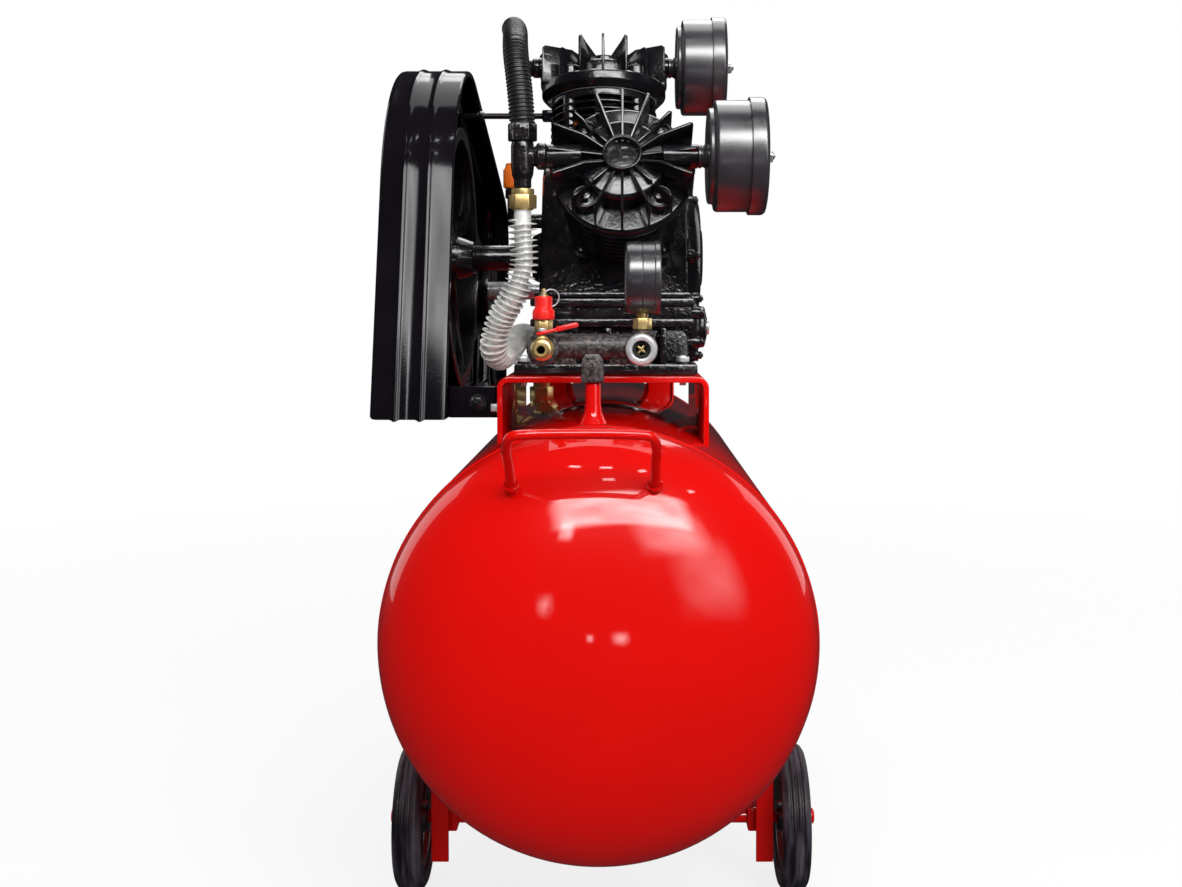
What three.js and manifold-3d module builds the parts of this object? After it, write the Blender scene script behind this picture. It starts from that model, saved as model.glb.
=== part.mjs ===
// Belt-driven two-cylinder air compressor on a horizontal tank.
// Millimetres, +Z up, +X to the right, -Y towards the end with the handle.
// The crankshaft, the motor shaft and the wheel axle all lie along X.

import * as THREE from "three";
import { mergeVertices } from "three/addons/utils/BufferGeometryUtils.js";
import Module from "manifold-3d";

const wasm = await Module();
wasm.setup();

// ---------- driving dimensions ----------
const GAP = 0.3; // clearance between touching pieces

const TANK_Z = 355; // height of the tank's axis
const TANK_R = 225;
const TANK_WALL = 4;
const TANK_HALF = 423; // half the length of the shell, without the dishes
const DISH_DEPTH = 112;
const DISH_R = 224;
const TANK_SIDES = 32;

const WHEEL_R = 84;
const WHEEL_WIDTH = 33;
const WHEEL_X = 226.5;
const WHEEL_Y = -174;
const AXLE_R = 8;
const AXLE_COLLAR = { r: 15, inner: 174, outer: 187 };
const WHEEL_SIDES = 20;
const BRACKET = { inner: 183, outer: 203, front: -204, back: -146, foot: 40, plate: 5 };

const LEG_X = 170;
const LEG_Y = 290;
const LEG_WIDTH = 40;
const FOOT_HEIGHT = 20;

const SADDLE = { left: -113, right: 119, front: -314, back: 46, top: 622.7, plate: 6, round: 12 };
const MOTOR_BASE = { half: 100, front: 232, back: 460, flange: 38 };

const CRANK_Y = -94;
const CRANK_Z = 760;
const JOURNAL_R = 16;
const THROW = 27; // half the stroke
const CASE = { left: -72, right: 100, wall: 14, hollow: 68 };

const FRONT_TILT = 65.5; // degrees forward of vertical
const REAR_TILT = -10; // leans back
const FRONT_X = 24;
const REAR_X = 0;
const BORE_R = 40;
const CYLINDER_BASE = 104; // distances along a cylinder's axis, from the crank axis
const DECK = 200;
const PORT = 247;
const HEAD_R = 78.5;
const FIN_COUNT = 14;
const PORT_REACH = 82; // a port face's distance from its cylinder's axis
const CYLINDER_SIDES = 16;
const PISTON_HEIGHT = 48;
const PISTON_R = 39.2;

const FLYWHEEL = { r: 162, inner: -174.5, outer: -232, rim: 16, hub: 26, groove: 152, spokes: 5 };
const BELT_X = -203;
const BELT_WIDTH = 16;
const MOTOR_Y = 346;
const MOTOR_Z = 723;
const PULLEY_R = 55;
const PULLEY_GROOVE = 45.5;

const GUARD = { inner: -166, outer: -249.5, sheet: 2, tilt: 15.2, front: 190, arc: 200 };

const FILTER_R = 60;
const FILTER_SIDES = 18;
const FILTER_DEPTH = 56;
const FRONT_FILTER_X = 116;
const REAR_FILTER_X = 92;

const RISER_X = -6;
const LINE_Y = -394; // the manifold's depth
const LINE_Z = 657;
const VALVE_X = -57;
const COUPLER_X = 43.6;
const SLEEVE_TRAVEL = 3;
const GAUGE_X = 45;
const GAUGE_Z = 730;
const GAUGE_R = 38;

const ORIGIN_Y = 11.9; // brings the middle of the footprint to the origin

// ---------- finishes ----------
const RED = { color: 0xc81010, roughness: 0.18, metalness: 0.1 };
const BLACK_CAST = { color: 0x15151a, roughness: 0.42, metalness: 0.3 };
const BLACK_SHEET = { color: 0x101014, roughness: 0.2, metalness: 0.2 };
const BLACK_PLASTIC = { color: 0x1b1b1d, roughness: 0.5, metalness: 0 };
const RUBBER = { color: 0x1a1a1a, roughness: 0.85, metalness: 0 };
const STEEL = { color: 0xb8babd, roughness: 0.35, metalness: 1 };
const ALUMINIUM = { color: 0xc9c9c6, roughness: 0.4, metalness: 1 };
const BRASS = { color: 0xb98a3a, roughness: 0.3, metalness: 1 };
const IRON = { color: 0x3a3636, roughness: 0.6, metalness: 0.7 };
const RED_PLASTIC = { color: 0xd01818, roughness: 0.45, metalness: 0 };
const ORANGE = { color: 0xe87410, roughness: 0.5, metalness: 0 };

// ---------- making and joining solids ----------
const rad = THREE.MathUtils.degToRad;

function solidOf(geometry) {
  const bare = geometry.clone();
  bare.deleteAttribute("normal");
  bare.deleteAttribute("uv");
  const merged = mergeVertices(bare, 1e-3);
  const solid = new wasm.Manifold(
    new wasm.Mesh({
      numProp: 3,
      vertProperties: new Float32Array(merged.attributes.position.array),
      triVerts: new Uint32Array(merged.index.array),
    }),
  );
  return solid.volume() < 0 ? solidOf(turnedOut(merged)) : solid;
}

function turnedOut(geometry) {
  const flipped = geometry.clone();
  const index = flipped.index.array;
  for (let i = 0; i < index.length; i += 3) {
    [index[i + 1], index[i + 2]] = [index[i + 2], index[i + 1]];
  }
  return flipped;
}

function geometryOf(solid) {
  const made = solid.getMesh();
  const geometry = new THREE.BufferGeometry();
  const points = new Float32Array(made.numVert * 3);
  for (let i = 0; i < made.numVert; i++) {
    const start = i * made.numProp;
    points.set(made.vertProperties.subarray(start, start + 3), i * 3);
  }
  geometry.setAttribute("position", new THREE.BufferAttribute(points, 3));
  geometry.setIndex(new THREE.BufferAttribute(made.triVerts, 1));
  return geometry;
}

function join(...pieces) {
  return geometryOf(pieces.map(solidOf).reduce((sum, piece) => sum.add(piece)));
}

function cut(body, ...tools) {
  return geometryOf(tools.map(solidOf).reduce((left, tool) => left.subtract(tool), solidOf(body)));
}

function box(low, high) {
  const size = high.map((value, i) => value - low[i]);
  const centre = high.map((value, i) => (value + low[i]) / 2);
  return new THREE.BoxGeometry(...size).translate(...centre);
}

// A turned solid from [radius, height] pairs, round Z, or round X or Y when asked.
function turned(profile, sides, axis = "z") {
  const points = profile.map(([r, h]) => new THREE.Vector2(r, h));
  const geometry = new THREE.LatheGeometry(points, sides);
  if (axis === "z") geometry.rotateX(Math.PI / 2);
  if (axis === "x") geometry.rotateZ(-Math.PI / 2);
  return geometry;
}

// A ring or tube section closes its profile on itself.
function ring(profile, sides, axis) {
  return turned([...profile, profile[0]], sides, axis);
}

function disc(radius, low, high, sides, axis = "z") {
  const profile = [[0, low], [radius, low], [radius, high], [0, high]];
  return turned(profile, sides, axis);
}

function prism(points, depth, curveSegments = 6) {
  const shape = Array.isArray(points) ? new THREE.Shape(points.map((p) => new THREE.Vector2(...p))) : points;
  return new THREE.ExtrudeGeometry(shape, { depth, bevelEnabled: false, curveSegments });
}

// An outline drawn in the YZ plane, extruded from one X to another.
function prismAlongX(points, from, to, curveSegments = 6) {
  const upright = prism(points, to - from, curveSegments).rotateX(Math.PI / 2);
  return upright.rotateZ(Math.PI / 2).translate(from, 0, 0);
}

// An outline drawn in the XZ plane, extruded from one Y to another.
function prismAlongY(points, from, to, curveSegments = 6) {
  return prism(points, to - from, curveSegments).rotateX(Math.PI / 2).translate(0, to, 0);
}

function polygon(radius, sides) {
  const points = [];
  for (let i = 0; i < sides; i++) {
    const angle = (i / sides) * 2 * Math.PI;
    points.push(new THREE.Vector2(radius * Math.cos(angle), radius * Math.sin(angle)));
  }
  return new THREE.Shape(points);
}

function tube(points, radius, sides, steps) {
  const path = new THREE.CatmullRomCurve3(points.map((p) => new THREE.Vector3(...p)));
  return new THREE.ExtrudeGeometry(polygon(radius, sides), { steps, extrudePath: path, bevelEnabled: false });
}

function hex(acrossFlats, low, high) {
  return disc(acrossFlats / Math.sqrt(3), low, high, 6);
}

const assembly = new THREE.Group();
const compressor = new THREE.Group();
compressor.position.y = ORIGIN_Y;
assembly.add(compressor);

// Each piece passes through a solid, which leaves its faces pointing out whatever way its profile ran.
function add(name, geometry, finish, parent = compressor) {
  const closed = geometryOf(solidOf(geometry));
  const mesh = new THREE.Mesh(closed, new THREE.MeshStandardMaterial(finish));
  mesh.name = name;
  parent.add(mesh);
  return mesh;
}

// A group at the crank axis whose local +Z runs along one cylinder.
function cylinderBank(tilt, x) {
  const bank = new THREE.Group();
  bank.position.set(x, CRANK_Y, CRANK_Z);
  bank.rotation.x = rad(tilt);
  compressor.add(bank);
  return bank;
}

// Where a point on a cylinder's axis lies in the compressor's frame.
function onBank(tilt, distance) {
  return [CRANK_Y - distance * Math.sin(rad(tilt)), CRANK_Z + distance * Math.cos(rad(tilt))];
}

// ---------- tank ----------
function dishProfile(radius, depth, steps) {
  const points = [];
  for (let i = 0; i <= steps; i++) {
    const angle = (i / steps) * (Math.PI / 2);
    points.push([radius * Math.cos(angle), TANK_HALF + GAP + depth * Math.sin(angle)]);
  }
  return points;
}

function tankCutter(gap) {
  return disc(TANK_R + gap, -TANK_HALF, TANK_HALF, TANK_SIDES, "y").translate(0, 0, TANK_Z);
}

function dishCutter(gap) {
  const outer = dishProfile(DISH_R + gap, DISH_DEPTH + gap, 6);
  return turned([[0, TANK_HALF], ...outer], TANK_SIDES, "y").translate(0, 0, TANK_Z);
}

function frontDishCutter(gap) {
  return dishCutter(gap).rotateZ(Math.PI);
}

function makeTank() {
  const inner = TANK_R - TANK_WALL;
  const wall = [[inner, -TANK_HALF], [TANK_R, -TANK_HALF], [TANK_R, TANK_HALF], [inner, TANK_HALF]];
  add("tank_shell", ring(wall, TANK_SIDES, "y").translate(0, 0, TANK_Z), RED);

  const outer = dishProfile(DISH_R, DISH_DEPTH, 6);
  const lining = dishProfile(DISH_R - TANK_WALL, DISH_DEPTH - TANK_WALL, 3).reverse();
  const dish = turned([...outer, ...lining, outer[0]], TANK_SIDES, "y");
  add("rear_dish", dish.clone().translate(0, 0, TANK_Z), RED);
  add("front_dish", dish.clone().rotateX(Math.PI).translate(0, 0, TANK_Z), RED);
}

function makeHandle() {
  const left = -79;
  const right = 56;
  const bar = { y: -554, z: 583 };
  const root = { y: -482, z: 513 };
  const bend = 12;
  const corner = (x, side) => [
    [x, root.y, root.z],
    [x, (root.y + bar.y) / 2, (root.z + bar.z) / 2],
    [x, bar.y + bend, bar.z - bend],
    [x + side * bend * 0.4, bar.y + 2, bar.z - 2],
    [x + side * bend * 1.4, bar.y, bar.z],
  ];
  const points = [...corner(left, 1), ...corner(right, -1).reverse()];
  const rod = tube(points, 5, 8, 26);
  add("front_handle", cut(rod, frontDishCutter(0.5)), RED);
}

function makeDrain() {
  const top = TANK_Z - TANK_R - 0.6;
  const body = join(hex(19, top - 16, top), disc(6, top - 30, top - 15, 12));
  add("drain_valve", body, BRASS);
  const knobTop = top - 30 - GAP;
  const wing = box([-14, -1.5, knobTop - 9], [14, 1.5, knobTop - 1]);
  add("drain_knob", join(disc(6, knobTop - 10, knobTop, 12), wing), BRASS);
}

// ---------- wheels, legs and feet ----------
function makeBracket(name, side) {
  const { inner, outer, front, back, foot, plate } = BRACKET;
  const profile = [
    [inner, front],
    [outer, front],
    [outer, back],
    [outer - plate, back],
    [outer - plate, front + plate],
    [inner, front + plate],
  ];
  const outline = side > 0 ? profile : profile.map(([x, y]) => [-x, y]).reverse();
  const angle = prism(outline, TANK_Z - foot).translate(0, 0, foot);
  const hole = disc(AXLE_R + 0.6, outer - 2 * plate, outer + plate, 16, "x");
  if (side < 0) hole.rotateZ(Math.PI);
  hole.translate(0, WHEEL_Y, WHEEL_R);
  add(name, cut(angle, hole, tankCutter(GAP + 0.2)), RED);
}

function makeWheel(side, sideName) {
  const half = WHEEL_WIDTH / 2;
  const rimProfile = [
    [AXLE_R + 0.4, -half],
    [AXLE_R + 0.4, half],
    [17, half],
    [17, 6],
    [50, 6],
    [54, 13],
    [60, 13],
    [60, -13],
    [17, -half],
  ];
  const tyreProfile = [
    [60 + GAP + 0.2, -14],
    [60 + GAP + 0.2, 14],
    [74, half],
    [WHEEL_R, half - 5],
    [WHEEL_R, 5 - half],
    [74, -half],
  ];
  const place = [side * WHEEL_X, WHEEL_Y, WHEEL_R];
  add(sideName + "_rim", ring(rimProfile, WHEEL_SIDES, "x"), BLACK_PLASTIC).position.set(...place);
  add(sideName + "_tyre", ring(tyreProfile, WHEEL_SIDES, "x"), RUBBER).position.set(...place);
}

function makeLeg(side, sideName) {
  const half = LEG_WIDTH / 2;
  const thick = 5;
  const angle = [
    [-half, -half],
    [half, -half],
    [half, half],
    [half - thick, half],
    [half - thick, thick - half],
    [-half, thick - half],
  ];
  const post = prism(angle, TANK_Z - FOOT_HEIGHT);
  const plate = box([-half - 6, -half - 6, 0], [half + 6, half + 6, thick]);
  const base = FOOT_HEIGHT + GAP;
  const leg = join(post, plate);
  if (side < 0) leg.rotateZ(-Math.PI / 2);
  leg.translate(side * LEG_X, LEG_Y, base);
  add(sideName + "_rear_leg", cut(leg, tankCutter(GAP + 0.2)), RED);
  const pad = join(
    box([-half - 4, -half - 4, 0], [half + 4, half + 4, 12]),
    box([-half, -half, 10], [half, half, FOOT_HEIGHT]),
  );
  add(sideName + "_rear_foot", pad, RUBBER).position.set(side * LEG_X, LEG_Y, 0);
}

function makeRunningGear() {
  for (const [sideName, side] of Object.entries({ left: -1, right: 1 })) {
    makeBracket(sideName + "_wheel_bracket", side);
    makeWheel(side, sideName);
    makeLeg(side, sideName);
  }
  const reach = WHEEL_X + WHEEL_WIDTH / 2 + 13;
  const collar = AXLE_COLLAR;
  const axle = join(
    disc(AXLE_R, -reach, reach, 16, "x"),
    disc(collar.r, collar.inner, collar.outer, 16, "x"),
    disc(collar.r, -collar.outer, -collar.inner, 16, "x"),
  );
  add("axle", axle.translate(0, WHEEL_Y, WHEEL_R), STEEL);
}

// ---------- pump saddle and motor base ----------
function archShape(left, right, top, plate, round) {
  const low = TANK_Z + 100;
  const shape = new THREE.Shape();
  shape.moveTo(left, low);
  shape.lineTo(left, top - round);
  shape.absarc(left + round, top - round, round, Math.PI, Math.PI / 2, true);
  shape.lineTo(right - round, top);
  shape.absarc(right - round, top - round, round, Math.PI / 2, 0, true);
  shape.lineTo(right, low);
  shape.lineTo(right - plate, low);
  shape.lineTo(right - plate, top - round);
  shape.absarc(right - round, top - round, round - plate, 0, Math.PI / 2, false);
  shape.lineTo(left + round, top - plate);
  shape.absarc(left + round, top - round, round - plate, Math.PI / 2, Math.PI, false);
  shape.lineTo(left + plate, low);
  return shape;
}

function makeBases() {
  const s = SADDLE;
  const saddle = prismAlongY(archShape(s.left, s.right, s.top, s.plate, s.round), s.front, s.back, 4);
  add("pump_saddle", cut(saddle, tankCutter(GAP)), RED);

  const m = MOTOR_BASE;
  const arch = prismAlongY(archShape(-m.half, m.half, s.top, s.plate, s.round), m.front, m.back, 4);
  const flanges = [];
  for (const side of [-1, 1]) {
    const x = [side * (m.half - m.flange), side * (m.half - 3)].sort((a, b) => a - b);
    for (const y of [m.front, m.back - 5]) {
      flanges.push(box([x[0], y, TANK_Z + 100], [x[1], y + 5, s.top - 3]));
    }
  }
  add("motor_base", cut(join(arch, ...flanges), tankCutter(GAP), dishCutter(0.5)), RED);
}

// ---------- pump ----------
// The crankcase outline in the YZ plane, measured from the crank axis.
function caseOutline() {
  const face = (tilt, across) => {
    const a = rad(tilt);
    return [
      -CYLINDER_BASE * Math.sin(a) + across * Math.cos(a),
      CYLINDER_BASE * Math.cos(a) + across * Math.sin(a),
    ];
  };
  return [
    [-165, -124],
    [110, -124],
    [105, -51],
    [90, 40],
    face(REAR_TILT, 60),
    face(REAR_TILT, -60),
    face(FRONT_TILT, 60),
    face(FRONT_TILT, -60),
    [-150, -51],
  ];
}

function makeCrankcase() {
  const c = CASE;
  const atCrank = (geometry) => geometry.translate(0, CRANK_Y, CRANK_Z);
  const boreTool = (tilt, x) => disc(BORE_R + 1, 20, 140, 16).rotateX(rad(tilt)).translate(x, 0, 0);
  const foot = box([c.left - 25, -190, -136.8], [c.right + 8, 130, -124]);
  const ledge = box([c.left - 8, -172, -83], [c.right, 117, -51]);
  const upperLedge = box([c.left - 4, -160, -51], [c.right, 110, -44]);
  const body = prismAlongX(caseOutline(), c.left, c.right);
  const bearingBoss = disc(30, c.left - 14, c.left + 2, 20, "x");
  const fillerPipe = join(
    disc(9, 40, 86, 12).translate(-111, 0, 0),
    disc(9, -112, c.left + 4, 12, "x").translate(0, 0, 46),
  );
  const sumpBulge = join(
    disc(34, c.right - 4, c.right + 16, 12, "x").translate(0, -120, -84),
    disc(26, c.right + 14, c.right + 25, 12, "x").translate(0, -120, -84),
  );
  const outside = join(body, foot, ledge, upperLedge, bearingBoss, fillerPipe, sumpBulge);
  const hollow = join(
    disc(c.hollow, c.left + c.wall, c.right + 1, 20, "x"),
    box([c.left + c.wall, -148, -112], [c.right - 12, 92, -20]),
  );
  const shaftHole = disc(JOURNAL_R + 0.8, c.left - 20, c.left + c.wall + 2, 16, "x");
  const bores = [boreTool(FRONT_TILT, FRONT_X), boreTool(REAR_TILT, REAR_X)];
  const crankcase = cut(outside, hollow, shaftHole, ...bores);
  add("crankcase", atCrank(crankcase), BLACK_CAST);

  const near = c.right + GAP;
  const coverProfile = [
    [0, near + 19],
    [68, near + 19],
    [78, near + 15],
    [83, near + 7],
    [83, near],
    [14.8, near],
    [14.8, near + 12],
    [0, near + 12],
    [0, near + 19],
  ];
  add("side_cover", atCrank(turned(coverProfile, 20, "x")), BLACK_CAST);

  const cap = join(disc(14, 86 + GAP, 112, 12), disc(11, 111, 118, 12));
  add("oil_filler_cap", cap, ORANGE).position.set(-111, CRANK_Y, CRANK_Z);
}

function makeCrank() {
  const webs = [[-52, -38], [44, 58]].map(([from, to]) => disc(54, from, to, 20, "x"));
  const pin = disc(15, -40, 46, 16, "x").translate(0, 0, THROW);
  const mainShaft = disc(JOURNAL_R, FLYWHEEL.outer - 4, -50, 16, "x");
  const endJournal = disc(14, 56, 110, 16, "x");
  const crankshaft = join(mainShaft, ...webs, pin, endJournal);
  add("crankshaft", crankshaft, STEEL).position.set(0, CRANK_Y, CRANK_Z);
}

function makeFlywheel() {
  const f = FLYWHEEL;
  const side = BELT_WIDTH / 2 + 1;
  const inside = f.r - f.rim;
  const rimProfile = [
    [inside, f.outer],
    [f.r, f.outer],
    [f.r, BELT_X - side],
    [f.groove, BELT_X - side + 1],
    [f.groove, BELT_X + side - 1],
    [f.r, BELT_X + side],
    [f.r, f.inner],
    [inside, f.inner],
  ];
  const spokes = [];
  for (let i = 0; i < f.spokes; i++) {
    const spoke = box([-213, -13, 20], [-194, 13, inside + 4]);
    spokes.push(spoke.rotateX((i / f.spokes) * 2 * Math.PI));
  }
  const hub = disc(f.hub, f.outer + 6, f.inner + 14, 16, "x");
  const bore = disc(JOURNAL_R + 0.4, f.outer, f.inner + 20, 16, "x");
  const wheel = cut(join(ring(rimProfile, 28, "x"), ...spokes, hub), bore);
  add("flywheel", wheel, BLACK_CAST).position.set(0, CRANK_Y, CRANK_Z);
}

function cylinderProfile() {
  const top = DECK - GAP;
  const low = CYLINDER_BASE + GAP;
  const points = [[BORE_R, top], [BORE_R, low], [58, low], [58, low + 12], [48, low + 12]];
  for (let i = 0; i < 3; i++) {
    const fin = low + 32 + i * 19;
    points.push([48, fin], [70, fin], [70, fin + 4], [48, fin + 4]);
  }
  points.push([48, top - 9], [66, top - 9], [66, top]);
  return points;
}

function headGeometry() {
  const flangeTop = DECK + 22;
  const bodyTop = 250;
  const plain = disc(HEAD_R, DECK, flangeTop, 20);
  const body = disc(50, flangeTop - 1, bodyTop, 16);
  const channel = box([-PORT_REACH, -15, flangeTop - 1], [PORT_REACH, 15, PORT + 15]);
  const boss = disc(21, bodyTop - 2, 256, 16);
  const recess = disc(16.5, 253.5, 260, 16);
  const blades = [];
  for (let i = 0; i < FIN_COUNT; i++) {
    const angle = (i / FIN_COUNT) * 2 * Math.PI;
    const outline = [[18, flangeTop - 1], [74, flangeTop - 1], [74, 267], [60, 262], [18, 252]];
    const blade = prism(outline, 4).translate(0, 0, -2).rotateX(Math.PI / 2);
    blades.push(blade.rotateZ(angle + rad(10)));
  }
  return cut(join(plain, body, channel, boss, ...blades), recess);
}

function makeCylinder(name, tilt, x) {
  const bank = cylinderBank(tilt, x);
  add(name + "_cylinder", ring(cylinderProfile(), CYLINDER_SIDES), BLACK_CAST, bank);
  add(name + "_head", headGeometry(), BLACK_CAST, bank);

  const crown = DECK - 2 - 2 * THROW; // the piston at the bottom of its stroke
  const skirt = crown - PISTON_HEIGHT;
  const outside = [[0, crown], [PISTON_R, crown], [PISTON_R, skirt]];
  const hollow = [[33, skirt], [33, crown - 9], [0, crown - 9]];
  add(name + "_piston", turned([...outside, ...hollow], CYLINDER_SIDES), ALUMINIUM, bank);
  const eye = disc(13, -9, 9, 12, "x").translate(0, 0, skirt + 22);
  const shank = box([-6, -8, skirt - 16], [6, 8, skirt + 14]);
  add(name + "_rod", join(eye, shank), STEEL, bank);
}

// ---------- air filters ----------
function makeFilter(name, tilt, headX, bodyX) {
  const [y, z] = onBank(tilt, PORT);
  const filter = new THREE.Group();
  filter.position.set(bodyX, y, z);
  compressor.add(filter);

  const neck = headX + PORT_REACH + GAP - bodyX;
  const end = FILTER_DEPTH;
  const base = [
    [0, neck],
    [13, neck],
    [13, -2],
    [FILTER_R - 4, 0],
    [FILTER_R, 4],
    [FILTER_R, end],
    [FILTER_R - 3, end],
    [FILTER_R - 3, 4],
    [4, 4],
    [4, end + 18],
    [0, end + 18],
  ];
  add(name + "_filter_base", turned(base, FILTER_SIDES, "x"), BLACK_PLASTIC, filter);
  const cover = [
    [4.6, end + 0.4],
    [FILTER_R + 0.4, end + 0.4],
    [FILTER_R + 0.4, end - 12],
    [FILTER_R + 3.5, end - 12],
    [FILTER_R + 3.5, end + 3],
    [FILTER_R, end + 7],
    [4.6, end + 7],
  ];
  add(name + "_filter_cover", ring(cover, FILTER_SIDES, "x"), BLACK_PLASTIC, filter);
  const face = end + 7 + GAP;
  const nut = join(disc(7, face, face + 8, 12, "x"), box([face + 2, -13, -1.5], [face + 8, 13, 1.5]));
  const bore = disc(4.6, face - 2, face + 20, 12, "x");
  add(name + "_wing_nut", cut(nut, bore), STEEL, filter);
}

// ---------- air lines ----------
function makeTransferLine() {
  const x = -84;
  const [frontY, frontZ] = onBank(FRONT_TILT, PORT);
  const [rearY, rearZ] = onBank(REAR_TILT, PORT);
  const face = FRONT_X - PORT_REACH - GAP;
  const tee = join(
    disc(13, 828 - frontZ, 880 - frontZ, 12),
    hex(28, 879 - frontZ, 898 - frontZ),
    disc(12, 0, face - x, 12, "x"),
    disc(15, face - x - 9, face - x, 12, "x"),
  );
  add("front_tee", tee, BLACK_CAST).position.set(x, frontY, frontZ);

  const elbowX = -112;
  const elbow = join(
    disc(12, -12, 16, 12),
    disc(11, 0, REAR_X - PORT_REACH - GAP - elbowX, 12, "x"),
    disc(13, 9, 18, 12),
  );
  add("rear_elbow", elbow, BLACK_CAST).position.set(elbowX, rearY, rearZ);

  const route = [
    [x, frontY, 899],
    [x, frontY, 912],
    [x - 3, frontY + 2, 935],
    [x - 9, frontY + 13, 975],
    [-99, -250, 1008],
    [-104, -185, 1026],
    [-109, -110, 1040],
    [elbowX, rearY - 16, 1041],
    [elbowX, rearY, rearZ + 27],
    [elbowX, rearY, rearZ + 19],
  ];
  add("arch_tube", tube(route, 14.2, 8, 26), BLACK_PLASTIC);
}

function makeDischargeLine() {
  const x = -84;
  const [frontY] = onBank(FRONT_TILT, PORT);
  const nut = hex(27, 806, 827.6).translate(x, frontY, 0);
  add("discharge_nut", nut, BRASS);
  const route = [
    [x, frontY, 805.6],
    [x, frontY, 780],
    [x + 1, frontY, 745],
    [x - 10, frontY + 2, 713],
    [-110, -308, 685],
    [-118, -298, 656],
    [-114, -278, 644],
    [-106, -245, 650],
    [-101, -205, 660],
    [-101, -120, 663],
    [-101, -30, 661],
    [-98, 60, 655],
    [-93, 105, 640],
    [-91, 121, 616],
    [-91, 121, 601.5],
  ];
  add("discharge_tube", tube(route, 15, 8, 40), ALUMINIUM);
  const valve = join(hex(30, 565, 588), disc(12, 560, 600.5, 12)).translate(-91, 121, 0);
  add("check_valve", cut(valve, tankCutter(GAP + 0.2)), BRASS);
}

function makeManifold() {
  const front = LINE_Y - 17;
  const bossAt = (x) => disc(17, front, LINE_Y + 17, 12, "y").translate(x, 0, LINE_Z);
  const bar = disc(14, VALVE_X - 14, COUPLER_X + 14, 12, "x").translate(0, LINE_Y, LINE_Z + 2);
  const stub = box([RISER_X - 12, LINE_Y - 12, 621], [RISER_X + 12, LINE_Y + 12, LINE_Z]);
  const seats = join(
    disc(11, LINE_Z, 674, 12).translate(VALVE_X, LINE_Y, 0),
    disc(11, LINE_Z, 676, 12).translate(GAUGE_X, LINE_Y, 0),
  );
  const spigot = disc(8.6, front - 13, front + 2, 12, "y").translate(COUPLER_X, 0, LINE_Z);
  const socket = disc(6, front - 20, front - 1, 12, "y").translate(COUPLER_X, 0, LINE_Z);
  const body = join(bossAt(VALVE_X), bossAt(COUPLER_X), bar, stub, seats, spigot);
  add("manifold", cut(body, socket), IRON);

  const pipe = [[0, 570], [17, 570], [10, 590], [8.3, 600], [8.3, 621 - GAP], [0, 621 - GAP]];
  const riser = turned(pipe, 16).translate(RISER_X, LINE_Y, 0);
  add("riser_pipe", cut(riser, tankCutter(GAP)), RED);
}

function makeSafetyValve() {
  const low = 674 + GAP;
  const body = join(hex(17, low, low + 12), disc(5, low + 11, 716, 10));
  add("safety_valve_body", body, BRASS).position.set(VALVE_X, LINE_Y, 0);
  const base = low + 12 + GAP;
  const profile = [[5.6, base], [11.5, base], [11.5, base + 10], [9, base + 12], [9, 711], [5.6, 711]];
  add("safety_valve_cap", ring(profile, 16), RED_PLASTIC).position.set(VALVE_X, LINE_Y, 0);
}

function makeBallValve() {
  const face = LINE_Y - 17 - GAP;
  const spigot = disc(12, face - 14, face, 16, "y");
  const nose = disc(7, face - 32, face - 13, 12, "y");
  const stem = disc(4, 0, 14, 12).translate(0, face - 8, 0);
  const hole = disc(3.8, face - 40, face - 20, 10, "y");
  add("ball_valve_body", cut(join(spigot, nose, stem), hole), BRASS).position.set(VALVE_X, 0, LINE_Z);
  const lever = join(
    disc(6, 14 + GAP, 18, 12),
    box([0, -4, 14 + GAP], [20, 4, 18]),
    box([18, -4.5, 13.5], [38, 4.5, 19.5]),
  );
  add("ball_valve_lever", lever, RED_PLASTIC).position.set(VALVE_X, face - 8, LINE_Z);
}

function makeOutlet() {
  const face = LINE_Y - 17 - GAP;
  const back = face - SLEEVE_TRAVEL;
  const mouth = back - 16;
  const sleeve = [[9.2, mouth], [14.5, mouth], [16, mouth + 2], [16, back - 2], [14, back], [9.2, back]];
  add("outlet_coupler", ring(sleeve, 14, "y"), STEEL).position.set(COUPLER_X, 0, LINE_Z);
}

function makeGauge() {
  const half = 18.5;
  const casing = [
    [0, -half],
    [GAUGE_R - 4, -half],
    [GAUGE_R, -half + 3],
    [GAUGE_R, half],
    [GAUGE_R - 3, half],
    [GAUGE_R - 3, half - 6],
    [0, half - 6],
  ];
  const body = turned(casing, 20, "x").translate(GAUGE_X, LINE_Y, GAUGE_Z);
  const stem = hex(18, 676 + GAP, GAUGE_Z - GAUGE_R + 2).translate(GAUGE_X, LINE_Y, 0);
  add("pressure_gauge", join(body, stem), BLACK_PLASTIC);
  const faceX = half - 6 + GAP;
  const pointer = box([faceX, -1, -8], [faceX + 1.2, 1, 26]).rotateX(rad(135)); // resting on zero
  const needle = join(disc(4, faceX, faceX + 2.2, 10, "x"), pointer);
  add("gauge_needle", needle, RED_PLASTIC).position.set(GAUGE_X, LINE_Y, GAUGE_Z);
}

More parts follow.
